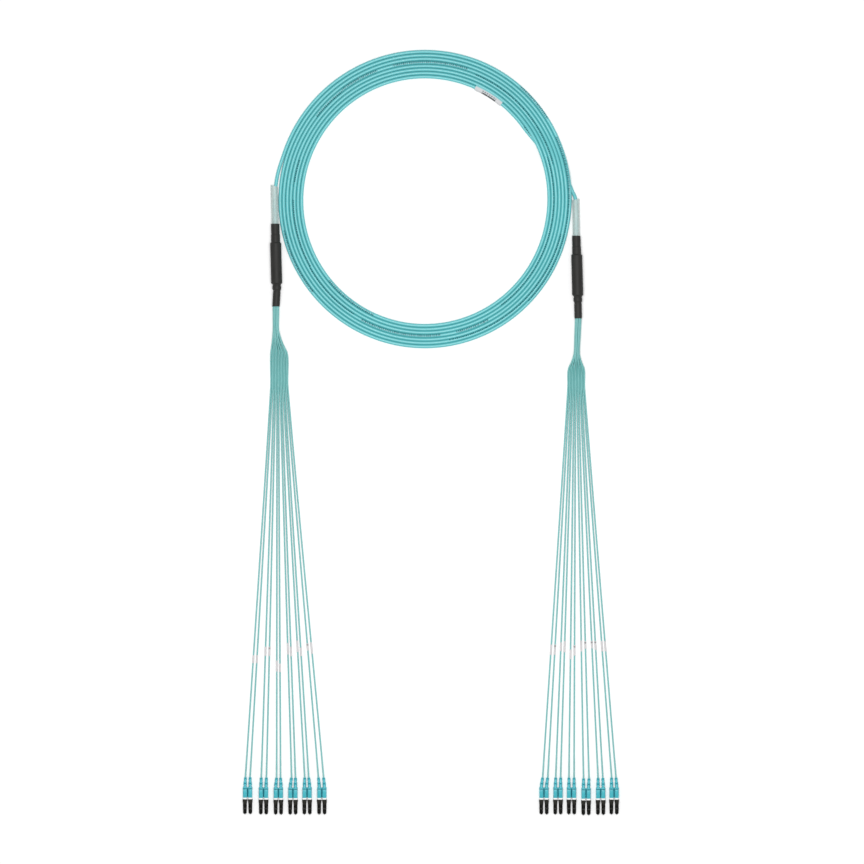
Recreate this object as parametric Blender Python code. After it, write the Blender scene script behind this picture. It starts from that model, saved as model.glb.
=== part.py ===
"""Fibre optic trunk cable, coiled flat with a fanned breakout at each end.

Seven flat turns of round trunk cable, two runs that leave the coil for a furcation body each, and
from each body twelve thin legs to six duplex connectors under pull-off dust caps.
Layout: the coil's centre is x = y = 0 and the floor is z = 0. At the end the whole assembly is moved
so that the bottom centre of its box is the origin. Metres, +Z up.
"""

import math

import bmesh
import bpy
from mathutils import Vector

MM = 0.001

# Trunk cable and its coil
TRUNK_DIAMETER = 4.2 * MM
COIL_INNER_RADIUS = 148.4 * MM
COIL_TURNS = 7
COIL_SEGMENTS = 48
TURN_CREST_SHARE = 0.5
TURN_VALLEY_SHARE = 0.45
PIECE_GAP = 0.3 * MM

# Runs of trunk cable between the coil and the two furcations
LEFT_RUN_END_ANGLE = 45.0
LEFT_RUN_LEAVE_ANGLE = 160.0
RIGHT_RUN_START_ANGLE = 3.2
RUN_POINT_SPACING = 11.0 * MM

# Clear film sleeves round the runs, just before the furcations; their upper ends lean to -X
SLEEVE_DIAMETER = 7.8 * MM
SLEEVE_WALL = 0.4 * MM
SLEEVE_LENGTH = 46.0 * MM
LEFT_SLEEVE_LEAN = 1.3 * MM
RIGHT_SLEEVE_LEAN = 0.4 * MM
SLEEVE_SIDES = 12

# Furcation bodies of black heat-shrink over a hard core, from the trunk side to the leg side
FURCATION_ENTRY_DIAMETER = 10.3 * MM
FURCATION_ENTRY_LENGTH = 23.5 * MM
FURCATION_BODY_DIAMETER = 13.5 * MM
FURCATION_BODY_LENGTH = 49.7 * MM
FURCATION_STEP_DIAMETER = 10.6 * MM
FURCATION_STEP_LENGTH = 7.3 * MM
FURCATION_EXIT_DIAMETER = 9.2 * MM
FURCATION_EXIT_LENGTH = 19.5 * MM
FURCATION_SHOULDER = 1.6 * MM
FURCATION_DROOP = 1.1 * MM
FURCATION_SIDES = 16

# Where each furcation starts below the coil's centre, how far it leans to +X over its length, and how
# far the end of its exit bends back. The left one stands as close to the coil as its sleeve lets it,
# and the right one that far beyond its run.
LEFT_FURCATION_DROP = 28.3 * MM
LEFT_FURCATION_LEAN = 2.6 * MM
LEFT_FURCATION_RETURN = 1.6 * MM
RIGHT_FURCATION_STANDOFF = 3.5 * MM
RIGHT_FURCATION_DROP = 42.8 * MM
RIGHT_FURCATION_LEAN = 2.4 * MM
RIGHT_FURCATION_RETURN = 0.0 * MM

# White wrap label on the innermost turn
LABEL_START_ANGLE = 51.6
LABEL_END_ANGLE = 65.9
LABEL_CLEARANCE = 0.5 * MM
LABEL_THICKNESS = 0.35 * MM
LABEL_WRAP_FROM = 50.0
LABEL_WRAP_TO = 195.0

# Legs: twelve to an end, packed in rows at the furcation, then side by side in a flat ribbon
LEG_DIAMETER = 1.8 * MM
BUNDLE_ROWS = (3, 4, 3, 2)
BUNDLE_PITCH = 2.1 * MM
RIBBON_PITCH = 2.0 * MM
LEFT_RIBBON_SHIFT = 4.0 * MM
RIGHT_RIBBON_SHIFT = -1.9 * MM
BUNDLE_LENGTH = 27.5 * MM
SPREAD_LENGTH = 27.0 * MM
RIBBON_LENGTH = 44.0 * MM
LEG_RISE_LENGTH = 30.0 * MM
LEG_RISE_BEND = 0.4
LEG_RISE_SHARE = 0.75

# Duplex connectors, measured from the front face of the housings
CONNECTORS_PER_END = 6
CONNECTOR_DROP = 723.7 * MM
LEFT_FAN_SHIFT = 12.1 * MM
LEFT_FAN_PITCH = 18.0 * MM
RIGHT_FAN_SHIFT = 3.4 * MM
RIGHT_FAN_PITCH = 17.0 * MM
LEFT_FAN_NUDGES = ((-0.6, 0.4), (0.7, 0.0), (0.7, -0.2), (0.3, -0.2), (-0.5, 0.0), (-0.6, 0.0))
RIGHT_FAN_NUDGES = ((0.0, 0.0), (0.0, 0.0), (-0.6, 0.0), (0.0, -0.9), (0.7, -0.5), (0.0, 0.0))
PORT_PITCH = 6.25 * MM
HOUSING_WIDTH = 4.95 * MM
HOUSING_HEIGHT = 5.6 * MM
HOUSING_LENGTH = 11.6 * MM
LATCH_WIDTH = 3.2 * MM
LATCH_ROOT = 0.9 * MM
LATCH_THICKNESS = 0.9 * MM
LATCH_LENGTH = 8.4 * MM
LATCH_RISE = 3.0 * MM
CLIP_OVERLAP = 1.4 * MM
CLIP_PROUD = 0.15 * MM
CLIP_LENGTH = 1.9 * MM
BOOT_BASE_DIAMETER = 4.4 * MM
BOOT_TIP_DIAMETER = 3.0 * MM
BOOT_LENGTH = 12.2 * MM
NOSE_WIDTH = 4.42 * MM
NOSE_CHAMFER = 0.45 * MM
NOSE_LENGTH = 4.4 * MM
FERRULE_DIAMETER = 1.25 * MM
FERRULE_LENGTH = 4.0 * MM

# Dust caps: a square collar on each nose, a round tapered tube, and a web that joins the two
CAP_MOUTH = 2.3 * MM
CAP_LENGTH = 18.2 * MM
CAP_COLLAR_WALL = 0.34 * MM
CAP_CLEARANCE = 0.25 * MM
CAP_COLLAR_CHAMFER = 0.9 * MM
CAP_TUBE_DIAMETER = 4.6 * MM
CAP_TIP_DIAMETER = 4.3 * MM
CAP_TIP_LENGTH = 2.2 * MM
CAP_TIP_ROUND_SHARE = 0.3
CAP_TIP_ROUND_WIDTH = 0.72
CAP_TIP_FLAT_WIDTH = 0.25
CAP_FLARE_LENGTH = 2.8 * MM
CAP_WEB_HEIGHT = 1.6 * MM
CAP_WEB_LENGTH = 1.8 * MM
CAP_BORE_CLEARANCE = 0.3 * MM
CAP_BORE_LENGTH = 1.5 * MM

# Sizes that follow from the ones above
TRUNK_RADIUS = TRUNK_DIAMETER / 2
LEG_RADIUS = LEG_DIAMETER / 2
COIL_OUTER_RADIUS = COIL_INNER_RADIUS + COIL_TURNS * TRUNK_DIAMETER
RUN_RADIUS = COIL_OUTER_RADIUS + PIECE_GAP + TRUNK_RADIUS
SLEEVE_RADIUS = SLEEVE_DIAMETER / 2
LEFT_FURCATION_X = (-(COIL_OUTER_RADIUS + PIECE_GAP + SLEEVE_RADIUS)
                    + LEFT_SLEEVE_LEAN * LEFT_FURCATION_DROP / SLEEVE_LENGTH)
RIGHT_FURCATION_X = RUN_RADIUS + RIGHT_FURCATION_STANDOFF
FURCATION_AXIS_HEIGHT = FURCATION_BODY_DIAMETER / 2
FURCATION_END_HEIGHT = FURCATION_AXIS_HEIGHT - FURCATION_DROOP
FURCATION_LENGTH = (FURCATION_ENTRY_LENGTH + FURCATION_BODY_LENGTH
                    + FURCATION_STEP_LENGTH + FURCATION_EXIT_LENGTH)
CAP_COLLAR_WIDTH = NOSE_WIDTH + 2 * (CAP_CLEARANCE + CAP_COLLAR_WALL)
CONNECTOR_AXIS_HEIGHT = max(CAP_COLLAR_WIDTH, HOUSING_HEIGHT) / 2
CLIP_BACK = HOUSING_LENGTH + CLIP_LENGTH - CLIP_OVERLAP
BOOT_END = CLIP_BACK + BOOT_LENGTH

# Colours as linear red, green, blue
AQUA_JACKET = (0.10, 0.58, 0.60)
AQUA_LEG = (0.13, 0.52, 0.50)
AQUA_CONNECTOR = (0.07, 0.56, 0.66)
BLACK_SHRINK = (0.028, 0.028, 0.028)
BLACK_CAP = (0.012, 0.012, 0.012)
CLEAR_FILM = (0.72, 0.80, 0.80)
WHITE_LABEL = (0.86, 0.86, 0.86)


def clear_scene():
    for item in list(bpy.data.objects):
        bpy.data.objects.remove(item, do_unlink=True)


def material(name, colour, roughness, metallic=0.0):
    made = bpy.data.materials.new(name)
    made.use_nodes = True
    surface = made.node_tree.nodes["Principled BSDF"]
    surface.inputs["Base Color"].default_value = (*colour, 1.0)
    surface.inputs["Roughness"].default_value = roughness
    surface.inputs["Metallic"].default_value = metallic
    made.diffuse_color = (*colour, 1.0)
    return made


def place(name, data, finish, assembly, location=(0.0, 0.0, 0.0)):
    item = bpy.data.objects.new(name, data)
    bpy.context.scene.collection.objects.link(item)
    item.data.materials.clear()
    item.data.materials.append(finish)
    item.location = location
    item.parent = assembly


def mesh_from(shape, name, smooth_angle=40.0):
    """Turn a bmesh into a mesh with its faces pointing out."""
    bmesh.ops.recalc_face_normals(shape, faces=shape.faces)
    mesh = bpy.data.meshes.new(name)
    shape.to_mesh(mesh)
    shape.free()
    mesh.shade_smooth()
    mesh.set_sharp_from_angle(angle=math.radians(smooth_angle))
    return mesh


def loft(shape, rings):
    """Skin a row of rings that all have the same number of points, and close both ends."""
    loops = [[shape.verts.new(point) for point in ring] for ring in rings]
    count = len(loops[0])
    for before, after in zip(loops, loops[1:]):
        for i in range(count):
            j = (i + 1) % count
            shape.faces.new((before[i], before[j], after[j], after[i]))
    shape.faces.new(loops[0])
    shape.faces.new(loops[-1])


def ring_across_y(y, diameter, sides, centre):
    """Points of a round section across Y, whose flats touch the circle, with one flat down."""
    reach = diameter / 2 / math.cos(math.pi / sides)
    points = []
    for i in range(sides):
        angle = math.pi / sides + 2 * math.pi * i / sides
        points.append(Vector((centre[0] + reach * math.cos(angle), y,
                              centre[1] + reach * math.sin(angle))))
    return points


def eight_sided(y, width, chamfer, centre_x):
    """A section across Y with eight points: a square with cut corners, or a regular one for None."""
    half = width / 2
    edge = half - chamfer if chamfer is not None else half * math.tan(math.pi / 8)
    corners = ((half, edge), (edge, half), (-edge, half), (-half, edge),
               (-half, -edge), (-edge, -half), (edge, -half), (half, -edge))
    return [Vector((centre_x + x, y, z)) for x, z in corners]


def box(shape, low, high):
    """Add a closed box between two corners."""
    made = bmesh.ops.create_cube(shape, size=1.0)["verts"]
    for vertex in made:
        for axis in range(3):
            vertex.co[axis] = high[axis] if vertex.co[axis] > 0 else low[axis]


def extrude_along_x(shape, outline, low_x, high_x):
    """Extrude an outline of (y, z) points across X."""
    loft(shape, [[Vector((x, y, z)) for y, z in outline] for x in (low_x, high_x)])


def fuse(shapes, name):
    """Union several closed bmesh shapes into one mesh."""
    parts = []
    for i, shape in enumerate(shapes):
        item = bpy.data.objects.new(f"{name}_piece_{i}", mesh_from(shape, f"{name}_piece_{i}"))
        bpy.context.scene.collection.objects.link(item)
        parts.append(item)
    whole = parts[0]
    for item in parts[1:]:
        union = whole.modifiers.new("union", "BOOLEAN")
        union.operation = "UNION"
        union.object = item
    bpy.context.view_layer.update()
    evaluated = whole.evaluated_get(bpy.context.evaluated_depsgraph_get())
    mesh = bpy.data.meshes.new_from_object(evaluated)
    mesh.name = name
    for item in parts:
        bpy.data.objects.remove(item, do_unlink=True)
    return mesh


def smooth_route(points, steps, floor):
    """Read points from a smooth curve through a route, none below the height of a cable that lies.

    steps gives how many points are read for each span of the route.
    """
    route = [Vector(point) for point in points]
    knots = [0.0]
    for before, after in zip(route, route[1:]):
        knots.append(knots[-1] + (after - before).length)
    slopes = []
    for i in range(len(route)):
        lower, upper = max(i - 1, 0), min(i + 1, len(route) - 1)
        slopes.append((route[upper] - route[lower]) / (knots[upper] - knots[lower]))
    read = [route[0]]
    for i, count in enumerate(steps):
        span = knots[i + 1] - knots[i]
        for k in range(1, count + 1):
            t = k / count
            read.append((2 * t ** 3 - 3 * t ** 2 + 1) * route[i]
                        + (t ** 3 - 2 * t ** 2 + t) * span * slopes[i]
                        + (3 * t ** 2 - 2 * t ** 3) * route[i + 1]
                        + (t ** 3 - t ** 2) * span * slopes[i + 1])
    for point in read:
        point.z = max(point.z, floor)
    return read


def cable(name, points, radius):
    """A round cable along a row of points, with closed ends."""
    curve = bpy.data.curves.new(name, "CURVE")
    curve.dimensions = "3D"
    curve.bevel_depth = radius
    curve.bevel_resolution = 2
    curve.use_fill_caps = True
    spline = curve.splines.new("POLY")
    spline.points.add(len(points) - 1)
    for target, point in zip(spline.points, points):
        target.co = (*point, 1.0)
    return curve


def polar(radius, degrees, z):
    angle = math.radians(degrees)
    return Vector((radius * math.cos(angle), radius * math.sin(angle), z))


def coil_outline():
    """The coil's section as (radius, height), with a flat crest and a valley for each turn."""
    crest = TURN_CREST_SHARE * TRUNK_RADIUS
    valley = TURN_VALLEY_SHARE * TRUNK_RADIUS
    top = [(COIL_INNER_RADIUS, TRUNK_RADIUS + valley)]
    for turn in range(COIL_TURNS):
        middle = COIL_INNER_RADIUS + (turn + 0.5) * TRUNK_DIAMETER
        top.append((middle - crest, TRUNK_DIAMETER))
        top.append((middle + crest, TRUNK_DIAMETER))
        top.append((middle + TRUNK_RADIUS, TRUNK_RADIUS + valley))
    bottom = [(radius, TRUNK_DIAMETER - height) for radius, height in reversed(top)]
    return top + bottom


def make_coil(assembly, finish):
    """The turned ring of all the flat turns."""
    shape = bmesh.new()
    outline = coil_outline()
    loops = []
    for i in range(COIL_SEGMENTS):
        angle = 360.0 * i / COIL_SEGMENTS
        loops.append([shape.verts.new(polar(radius, angle, z)) for radius, z in outline])
    for i, loop in enumerate(loops):
        following = loops[(i + 1) % COIL_SEGMENTS]
        for k in range(len(outline)):
            m = (k + 1) % len(outline)
            shape.faces.new((loop[k], loop[m], following[m], following[k]))
    place("trunk_coil", mesh_from(shape, "trunk_coil"), finish, assembly)


def left_run_points():
    """From the furcation up through the sleeve, then over the top against the coil's outer turn."""
    x = LEFT_FURCATION_X
    end = -LEFT_FURCATION_DROP + PIECE_GAP
    route = [(x, end, FURCATION_END_HEIGHT),
             (x, end + 9 * MM, FURCATION_END_HEIGHT - 0.4 * MM),
             (x - 0.6 * MM, end + 28 * MM, TRUNK_RADIUS + 1.7 * MM),
             (x - 0.1 * MM, end + 46 * MM, TRUNK_RADIUS + 0.8 * MM),
             (x + 3.1 * MM, end + 64 * MM, TRUNK_RADIUS + 0.2 * MM)]
    arc = LEFT_RUN_LEAVE_ANGLE - LEFT_RUN_END_ANGLE
    count = math.ceil(math.radians(arc) * RUN_RADIUS / RUN_POINT_SPACING)
    for i in range(count + 1):
        route.append(polar(RUN_RADIUS, LEFT_RUN_LEAVE_ANGLE - arc * i / count, TRUNK_RADIUS))
    return smooth_route(route, [1, 2, 2, 2, 2] + [1] * count, TRUNK_RADIUS)


def right_run_points():
    """From the coil's outer side, where it comes out from under the turns, down to the furcation."""
    x = RIGHT_FURCATION_X
    end = -RIGHT_FURCATION_DROP + PIECE_GAP
    route = [polar(RUN_RADIUS, RIGHT_RUN_START_ANGLE, TRUNK_RADIUS),
             (x - 1.2 * MM, end + 46 * MM, TRUNK_RADIUS + 0.9 * MM),
             (x - 0.3 * MM, end + 35 * MM, TRUNK_RADIUS + 1.3 * MM),
             (x, end + 23 * MM, TRUNK_RADIUS + 2.1 * MM),
             (x, end + 9 * MM, FURCATION_END_HEIGHT - 0.4 * MM),
             (x, end, FURCATION_END_HEIGHT)]
    return smooth_route(route, [1, 1, 1, 2, 1], TRUNK_RADIUS)


def make_sleeve(name, x, drop, lean, assembly, finish):
    """An open film tube from the furcation's end down to the floor, its far end leaning to -X."""
    low = -drop + PIECE_GAP
    heights = (FURCATION_END_HEIGHT - PIECE_GAP, SLEEVE_RADIUS)
    bore = SLEEVE_DIAMETER - 2 * SLEEVE_WALL
    ends = ((low, (x, heights[0])), (low + SLEEVE_LENGTH, (x - lean, heights[1])))
    shape = bmesh.new()
    outer = [ring_across_y(y, SLEEVE_DIAMETER, SLEEVE_SIDES, centre) for y, centre in ends]
    inner = [ring_across_y(y, bore, SLEEVE_SIDES, centre) for y, centre in reversed(ends)]
    loops = [[shape.verts.new(point) for point in ring] for ring in outer + inner]
    for i, loop in enumerate(loops):
        following = loops[(i + 1) % len(loops)]
        for k in range(SLEEVE_SIDES):
            m = (k + 1) % SLEEVE_SIDES
            shape.faces.new((loop[k], loop[m], following[m], following[k]))
    place(name, mesh_from(shape, name), finish, assembly)


def make_furcation(name, x, drop, leans, assembly, finish):
    """A stepped round body: entry, wide core, step and exit, its ends drooping a little."""
    lean, back = leans
    body = FURCATION_ENTRY_LENGTH
    step = body + FURCATION_BODY_LENGTH
    leave = step + FURCATION_STEP_LENGTH
    high, low = FURCATION_AXIS_HEIGHT, FURCATION_END_HEIGHT
    stations = ((0.0, FURCATION_ENTRY_DIAMETER, low),
                (body - FURCATION_SHOULDER, FURCATION_ENTRY_DIAMETER, high),
                (body, FURCATION_BODY_DIAMETER, high),
                (step - FURCATION_SHOULDER, FURCATION_BODY_DIAMETER, high),
                (step, FURCATION_STEP_DIAMETER, high),
                (leave - FURCATION_SHOULDER, FURCATION_STEP_DIAMETER, high),
                (leave, FURCATION_EXIT_DIAMETER, high),
                (FURCATION_LENGTH, FURCATION_EXIT_DIAMETER, low))
    rings = []
    for along, diameter, height in stations:
        across = lean - back if along == FURCATION_LENGTH else lean * along / FURCATION_LENGTH
        rings.append(ring_across_y(-drop - along, diameter, FURCATION_SIDES, (x + across, height)))
    shape = bmesh.new()
    loft(shape, rings)
    place(name, mesh_from(shape, name), finish, assembly)


def make_label(assembly, finish):
    """A curved wrap over the top and the inner side of the innermost turn."""
    middle = COIL_INNER_RADIUS + TRUNK_RADIUS
    inner = TRUNK_RADIUS + LABEL_CLEARANCE
    outer = inner + LABEL_THICKNESS
    wraps = 6
    section = []
    for radius, sweep in ((inner, range(wraps + 1)), (outer, range(wraps, -1, -1))):
        for i in sweep:
            angle = math.radians(LABEL_WRAP_FROM + (LABEL_WRAP_TO - LABEL_WRAP_FROM) * i / wraps)
            section.append((middle + radius * math.cos(angle), TRUNK_RADIUS + radius * math.sin(angle)))
    steps = 4
    rings = []
    for i in range(steps + 1):
        degrees = LABEL_START_ANGLE + (LABEL_END_ANGLE - LABEL_START_ANGLE) * i / steps
        rings.append([polar(radius, degrees, z) for radius, z in section])
    shape = bmesh.new()
    loft(shape, rings)
    place("cable_label", mesh_from(shape, "cable_label"), finish, assembly)


def bundle_slots():
    """Place each leg in the stacked bundle, as (x, z) from its middle, sorted from -X to +X."""
    spacing = BUNDLE_PITCH * math.sin(math.radians(60))
    slots = []
    for row, count in enumerate(BUNDLE_ROWS):
        z = (row - (len(BUNDLE_ROWS) - 1) / 2) * spacing
        for k in range(count):
            slots.append(((k - (count - 1) / 2) * BUNDLE_PITCH, z))
    return sorted(slots)


def leg_points(slot, ribbon_x, start, boot):
    """One leg: bundled at the furcation, spread, laid flat, fanned out and up into its boot."""
    x0, z0 = slot
    bundle_x, bundle_y, bundle_z = start[0] + x0, start[1], start[2] + z0
    flat_x = start[0] + ribbon_x
    spread = start[1] - BUNDLE_LENGTH
    flat = spread - SPREAD_LENGTH
    fan = flat - RIBBON_LENGTH
    floor = LEG_RADIUS
    stages = ((bundle_y, 0.0, 0.0), (start[1] - 0.5 * BUNDLE_LENGTH, 0.0, 0.01),
              (spread, 0.02, 0.05), (spread - 0.5 * SPREAD_LENGTH, 0.5, 0.22),
              (flat, 0.98, 0.5), (flat - 0.5 * RIBBON_LENGTH, 1.0, 0.88), (fan, 1.0, 1.0))
    route = [(bundle_x + (flat_x - bundle_x) * across, y, bundle_z + (floor - bundle_z) * down)
             for y, across, down in stages]
    rise = boot[1] + LEG_RISE_LENGTH
    share = (fan - rise) / (fan - boot[1])
    route.append((flat_x + (boot[0] - flat_x) * share, rise, floor))
    route.append((boot[0] + (flat_x - boot[0]) * (1 - share) * LEG_RISE_BEND,
                  boot[1] + LEG_RISE_LENGTH * LEG_RISE_BEND, floor + (boot[2] - floor) * LEG_RISE_SHARE))
    route.append(boot)
    return smooth_route(route, [1, 1, 2, 2, 1, 1, 2, 1, 1], floor)


def make_legs(side, exit_x, drop, ribbon_shift, boots, assembly, finish):
    legs = sum(BUNDLE_ROWS)
    start = (exit_x, -drop - FURCATION_LENGTH - PIECE_GAP, FURCATION_END_HEIGHT)
    for number, (slot, boot) in enumerate(zip(bundle_slots(), boots)):
        ribbon_x = ribbon_shift + (number - (legs - 1) / 2) * RIBBON_PITCH
        name = f"leg_{side}_{number + 1:02d}"
        curve = cable(name, leg_points(slot, ribbon_x, start, boot), LEG_RADIUS)
        place(name, curve, finish, assembly)


def latch_outline():
    """Side view of a latch lever, as (y, z) from the connector's axis; its root is in the housing."""
    root = HOUSING_HEIGHT / 2
    tip = root + LATCH_RISE
    half = LATCH_THICKNESS / 2
    end = LATCH_ROOT + LATCH_LENGTH
    return (LATCH_ROOT, root - half), (end, tip - half), (end, tip + half), (LATCH_ROOT, root + half)


def connector_mesh():
    """Two housings with latches, noses, ferrules and boots, joined by the clip behind them."""
    shapes = []
    half = HOUSING_WIDTH / 2
    clip = bmesh.new()
    side = PORT_PITCH / 2 + half + CLIP_PROUD
    front = HOUSING_LENGTH - CLIP_OVERLAP
    reach = HOUSING_HEIGHT / 2 + CLIP_PROUD
    box(clip, (-side, front, -HOUSING_HEIGHT / 2 + 2 * CLIP_PROUD), (side, CLIP_BACK, reach))
    shapes.append(clip)
    for x in (-PORT_PITCH / 2, PORT_PITCH / 2):
        housing = bmesh.new()
        box(housing, (x - half, 0.0, -HOUSING_HEIGHT / 2), (x + half, HOUSING_LENGTH, HOUSING_HEIGHT / 2))
        latch = bmesh.new()
        extrude_along_x(latch, latch_outline(), x - LATCH_WIDTH / 2, x + LATCH_WIDTH / 2)
        nose = bmesh.new()
        loft(nose, [eight_sided(y, NOSE_WIDTH, NOSE_CHAMFER, x)
                    for y in (-NOSE_LENGTH, HOUSING_LENGTH / 4)])
        ferrule = bmesh.new()
        tip = -NOSE_LENGTH - FERRULE_LENGTH
        loft(ferrule, [eight_sided(y, FERRULE_DIAMETER, None, x) for y in (tip, -NOSE_LENGTH / 2)])
        boot = bmesh.new()
        loft(boot, [eight_sided(CLIP_BACK - CLIP_LENGTH / 3, BOOT_BASE_DIAMETER, None, x),
                    eight_sided(CLIP_BACK + BOOT_LENGTH / 4, BOOT_BASE_DIAMETER, None, x),
                    eight_sided(BOOT_END, BOOT_TIP_DIAMETER, None, x)])
        shapes += [housing, latch, nose, ferrule, boot]
    return fuse(shapes, "duplex_connector")


def cap_shell(x):
    """One hollow cap: square collar, round tapered tube, domed tip, and a bore for the ferrule."""
    mouth, tip = -CAP_MOUTH, -CAP_MOUTH - CAP_LENGTH
    seat = -NOSE_LENGTH - CAP_CLEARANCE
    pocket = NOSE_WIDTH + 2 * CAP_CLEARANCE
    bore = FERRULE_DIAMETER + 2 * CAP_BORE_CLEARANCE
    bore_end = -NOSE_LENGTH - FERRULE_LENGTH - CAP_BORE_LENGTH
    collar_end = seat - CAP_COLLAR_WALL
    stations = ((bore_end, bore, None), (seat, bore, None), (seat, pocket, NOSE_CHAMFER),
                (mouth, pocket, NOSE_CHAMFER), (mouth, CAP_COLLAR_WIDTH, CAP_COLLAR_CHAMFER),
                (collar_end, CAP_COLLAR_WIDTH, CAP_COLLAR_CHAMFER),
                (collar_end - CAP_FLARE_LENGTH, CAP_TUBE_DIAMETER, None),
                (tip + CAP_TIP_LENGTH, CAP_TIP_DIAMETER, None),
                (tip + CAP_TIP_LENGTH * CAP_TIP_ROUND_SHARE,
                 CAP_TIP_DIAMETER * CAP_TIP_ROUND_WIDTH, None),
                (tip, CAP_TIP_DIAMETER * CAP_TIP_FLAT_WIDTH, None))
    shape = bmesh.new()
    loft(shape, [eight_sided(y, width, chamfer, x) for y, width, chamfer in stations])
    return shape


def cap_mesh():
    """A pair of caps joined by a short web at the mouth."""
    web = bmesh.new()
    reach = PORT_PITCH / 2 - CAP_COLLAR_WIDTH / 2 + CAP_COLLAR_WALL / 2
    half = CAP_WEB_HEIGHT / 2
    inset = CAP_COLLAR_WALL
    box(web, (-reach, -CAP_MOUTH - inset - CAP_WEB_LENGTH, -half), (reach, -CAP_MOUTH - inset, half))
    return fuse([cap_shell(-PORT_PITCH / 2), cap_shell(PORT_PITCH / 2), web], "duplex_dust_caps")


def connector_places(centre, pitch, nudges):
    middle = (CONNECTORS_PER_END - 1) / 2
    places = []
    for k, (across, along) in enumerate(nudges):
        places.append(Vector((centre + (k - middle) * pitch + across * MM,
                              -CONNECTOR_DROP + along * MM, CONNECTOR_AXIS_HEIGHT)))
    return places


def make_end(side, furcation_x, drop, leans, ribbon_shift, places, shared, assembly, finishes):
    """Furcation, sleeve, legs, connectors and caps of one end of the trunk."""
    connector, caps = shared
    sleeve_lean, lean, back = leans
    make_sleeve(f"label_sleeve_{side}", furcation_x, drop, sleeve_lean, assembly, finishes["film"])
    make_furcation(f"furcation_{side}", furcation_x, drop, (lean, back), assembly, finishes["shrink"])
    boots = []
    for number, spot in enumerate(places):
        place(f"connector_{side}_{number + 1}", connector, finishes["connector"], assembly, spot)
        place(f"dust_caps_{side}_{number + 1}", caps, finishes["cap"], assembly, spot)
        for across in (-PORT_PITCH / 2, PORT_PITCH / 2):
            boots.append((spot.x + across, spot.y + BOOT_END + PIECE_GAP, spot.z))
    make_legs(side, furcation_x + lean - back, drop, ribbon_shift, boots, assembly, finishes["leg"])


def stand_on_origin(assembly):
    """Move the assembly so that the bottom centre of its box is the origin."""
    bpy.context.view_layer.update()
    graph = bpy.context.evaluated_depsgraph_get()
    low, high = Vector((math.inf,) * 3), Vector((-math.inf,) * 3)
    for item in assembly.children:
        evaluated = item.evaluated_get(graph)
        mesh = evaluated.to_mesh()
        for vertex in mesh.vertices:
            point = evaluated.matrix_world @ vertex.co
            low = Vector(map(min, low, point))
            high = Vector(map(max, high, point))
        evaluated.to_mesh_clear()
    assembly.location = (-(low.x + high.x) / 2, -(low.y + high.y) / 2, -low.z)
    bpy.context.view_layer.update()


def main():
    clear_scene()
    assembly = bpy.data.objects.new("trunk_assembly", None)
    bpy.context.scene.collection.objects.link(assembly)
    jacket = material("aqua_jacket", AQUA_JACKET, 0.38)
    finishes = {"leg": material("aqua_leg", AQUA_LEG, 0.42),
                "connector": material("aqua_connector", AQUA_CONNECTOR, 0.35),
                "cap": material("black_cap", BLACK_CAP, 0.5),
                "shrink": material("black_shrink", BLACK_SHRINK, 0.5),
                "film": material("clear_film", CLEAR_FILM, 0.25)}
    make_coil(assembly, jacket)
    place("trunk_run_left", cable("trunk_run_left", left_run_points(), TRUNK_RADIUS), jacket, assembly)
    place("trunk_run_right", cable("trunk_run_right", right_run_points(), TRUNK_RADIUS), jacket, assembly)
    make_label(assembly, material("white_label", WHITE_LABEL, 0.6))
    shared = (connector_mesh(), cap_mesh())
    left = connector_places(LEFT_FURCATION_X + LEFT_FAN_SHIFT, LEFT_FAN_PITCH, LEFT_FAN_NUDGES)
    right = connector_places(RIGHT_FURCATION_X + RIGHT_FAN_SHIFT, RIGHT_FAN_PITCH, RIGHT_FAN_NUDGES)
    left_leans = (LEFT_SLEEVE_LEAN, LEFT_FURCATION_LEAN, LEFT_FURCATION_RETURN)
    right_leans = (RIGHT_SLEEVE_LEAN, RIGHT_FURCATION_LEAN, RIGHT_FURCATION_RETURN)
    make_end("left", LEFT_FURCATION_X, LEFT_FURCATION_DROP, left_leans, LEFT_RIBBON_SHIFT,
             left, shared, assembly, finishes)
    make_end("right", RIGHT_FURCATION_X, RIGHT_FURCATION_DROP, right_leans, RIGHT_RIBBON_SHIFT,
             right, shared, assembly, finishes)
    stand_on_origin(assembly)


main()
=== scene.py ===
"""Fibre optic trunk cable, coiled flat on a pale floor with a fanned breakout at each end.

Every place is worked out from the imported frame: the middle of the coil is the middle of its ring, and a
connector stands where its node stands. Lengths are metres, made from millimetres with MM.
"""
import math

import bmesh
import bpy
import numpy as np
from mathutils import Matrix, Vector, noise


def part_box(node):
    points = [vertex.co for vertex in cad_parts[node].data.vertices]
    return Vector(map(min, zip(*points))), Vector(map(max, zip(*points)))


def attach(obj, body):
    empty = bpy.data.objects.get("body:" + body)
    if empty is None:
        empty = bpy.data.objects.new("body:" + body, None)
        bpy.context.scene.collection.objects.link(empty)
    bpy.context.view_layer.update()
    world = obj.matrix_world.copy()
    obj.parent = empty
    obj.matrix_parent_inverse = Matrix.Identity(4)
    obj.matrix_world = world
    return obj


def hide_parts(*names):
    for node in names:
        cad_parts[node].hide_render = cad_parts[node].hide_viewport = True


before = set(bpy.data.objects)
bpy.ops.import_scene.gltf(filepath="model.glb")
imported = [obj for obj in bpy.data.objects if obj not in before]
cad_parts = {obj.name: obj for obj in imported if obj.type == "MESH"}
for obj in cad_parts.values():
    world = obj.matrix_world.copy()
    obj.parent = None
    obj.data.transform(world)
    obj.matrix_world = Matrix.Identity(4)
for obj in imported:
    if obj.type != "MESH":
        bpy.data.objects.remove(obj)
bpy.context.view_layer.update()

MM = 0.001
COIL_LOW, COIL_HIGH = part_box("trunk_coil")
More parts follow.
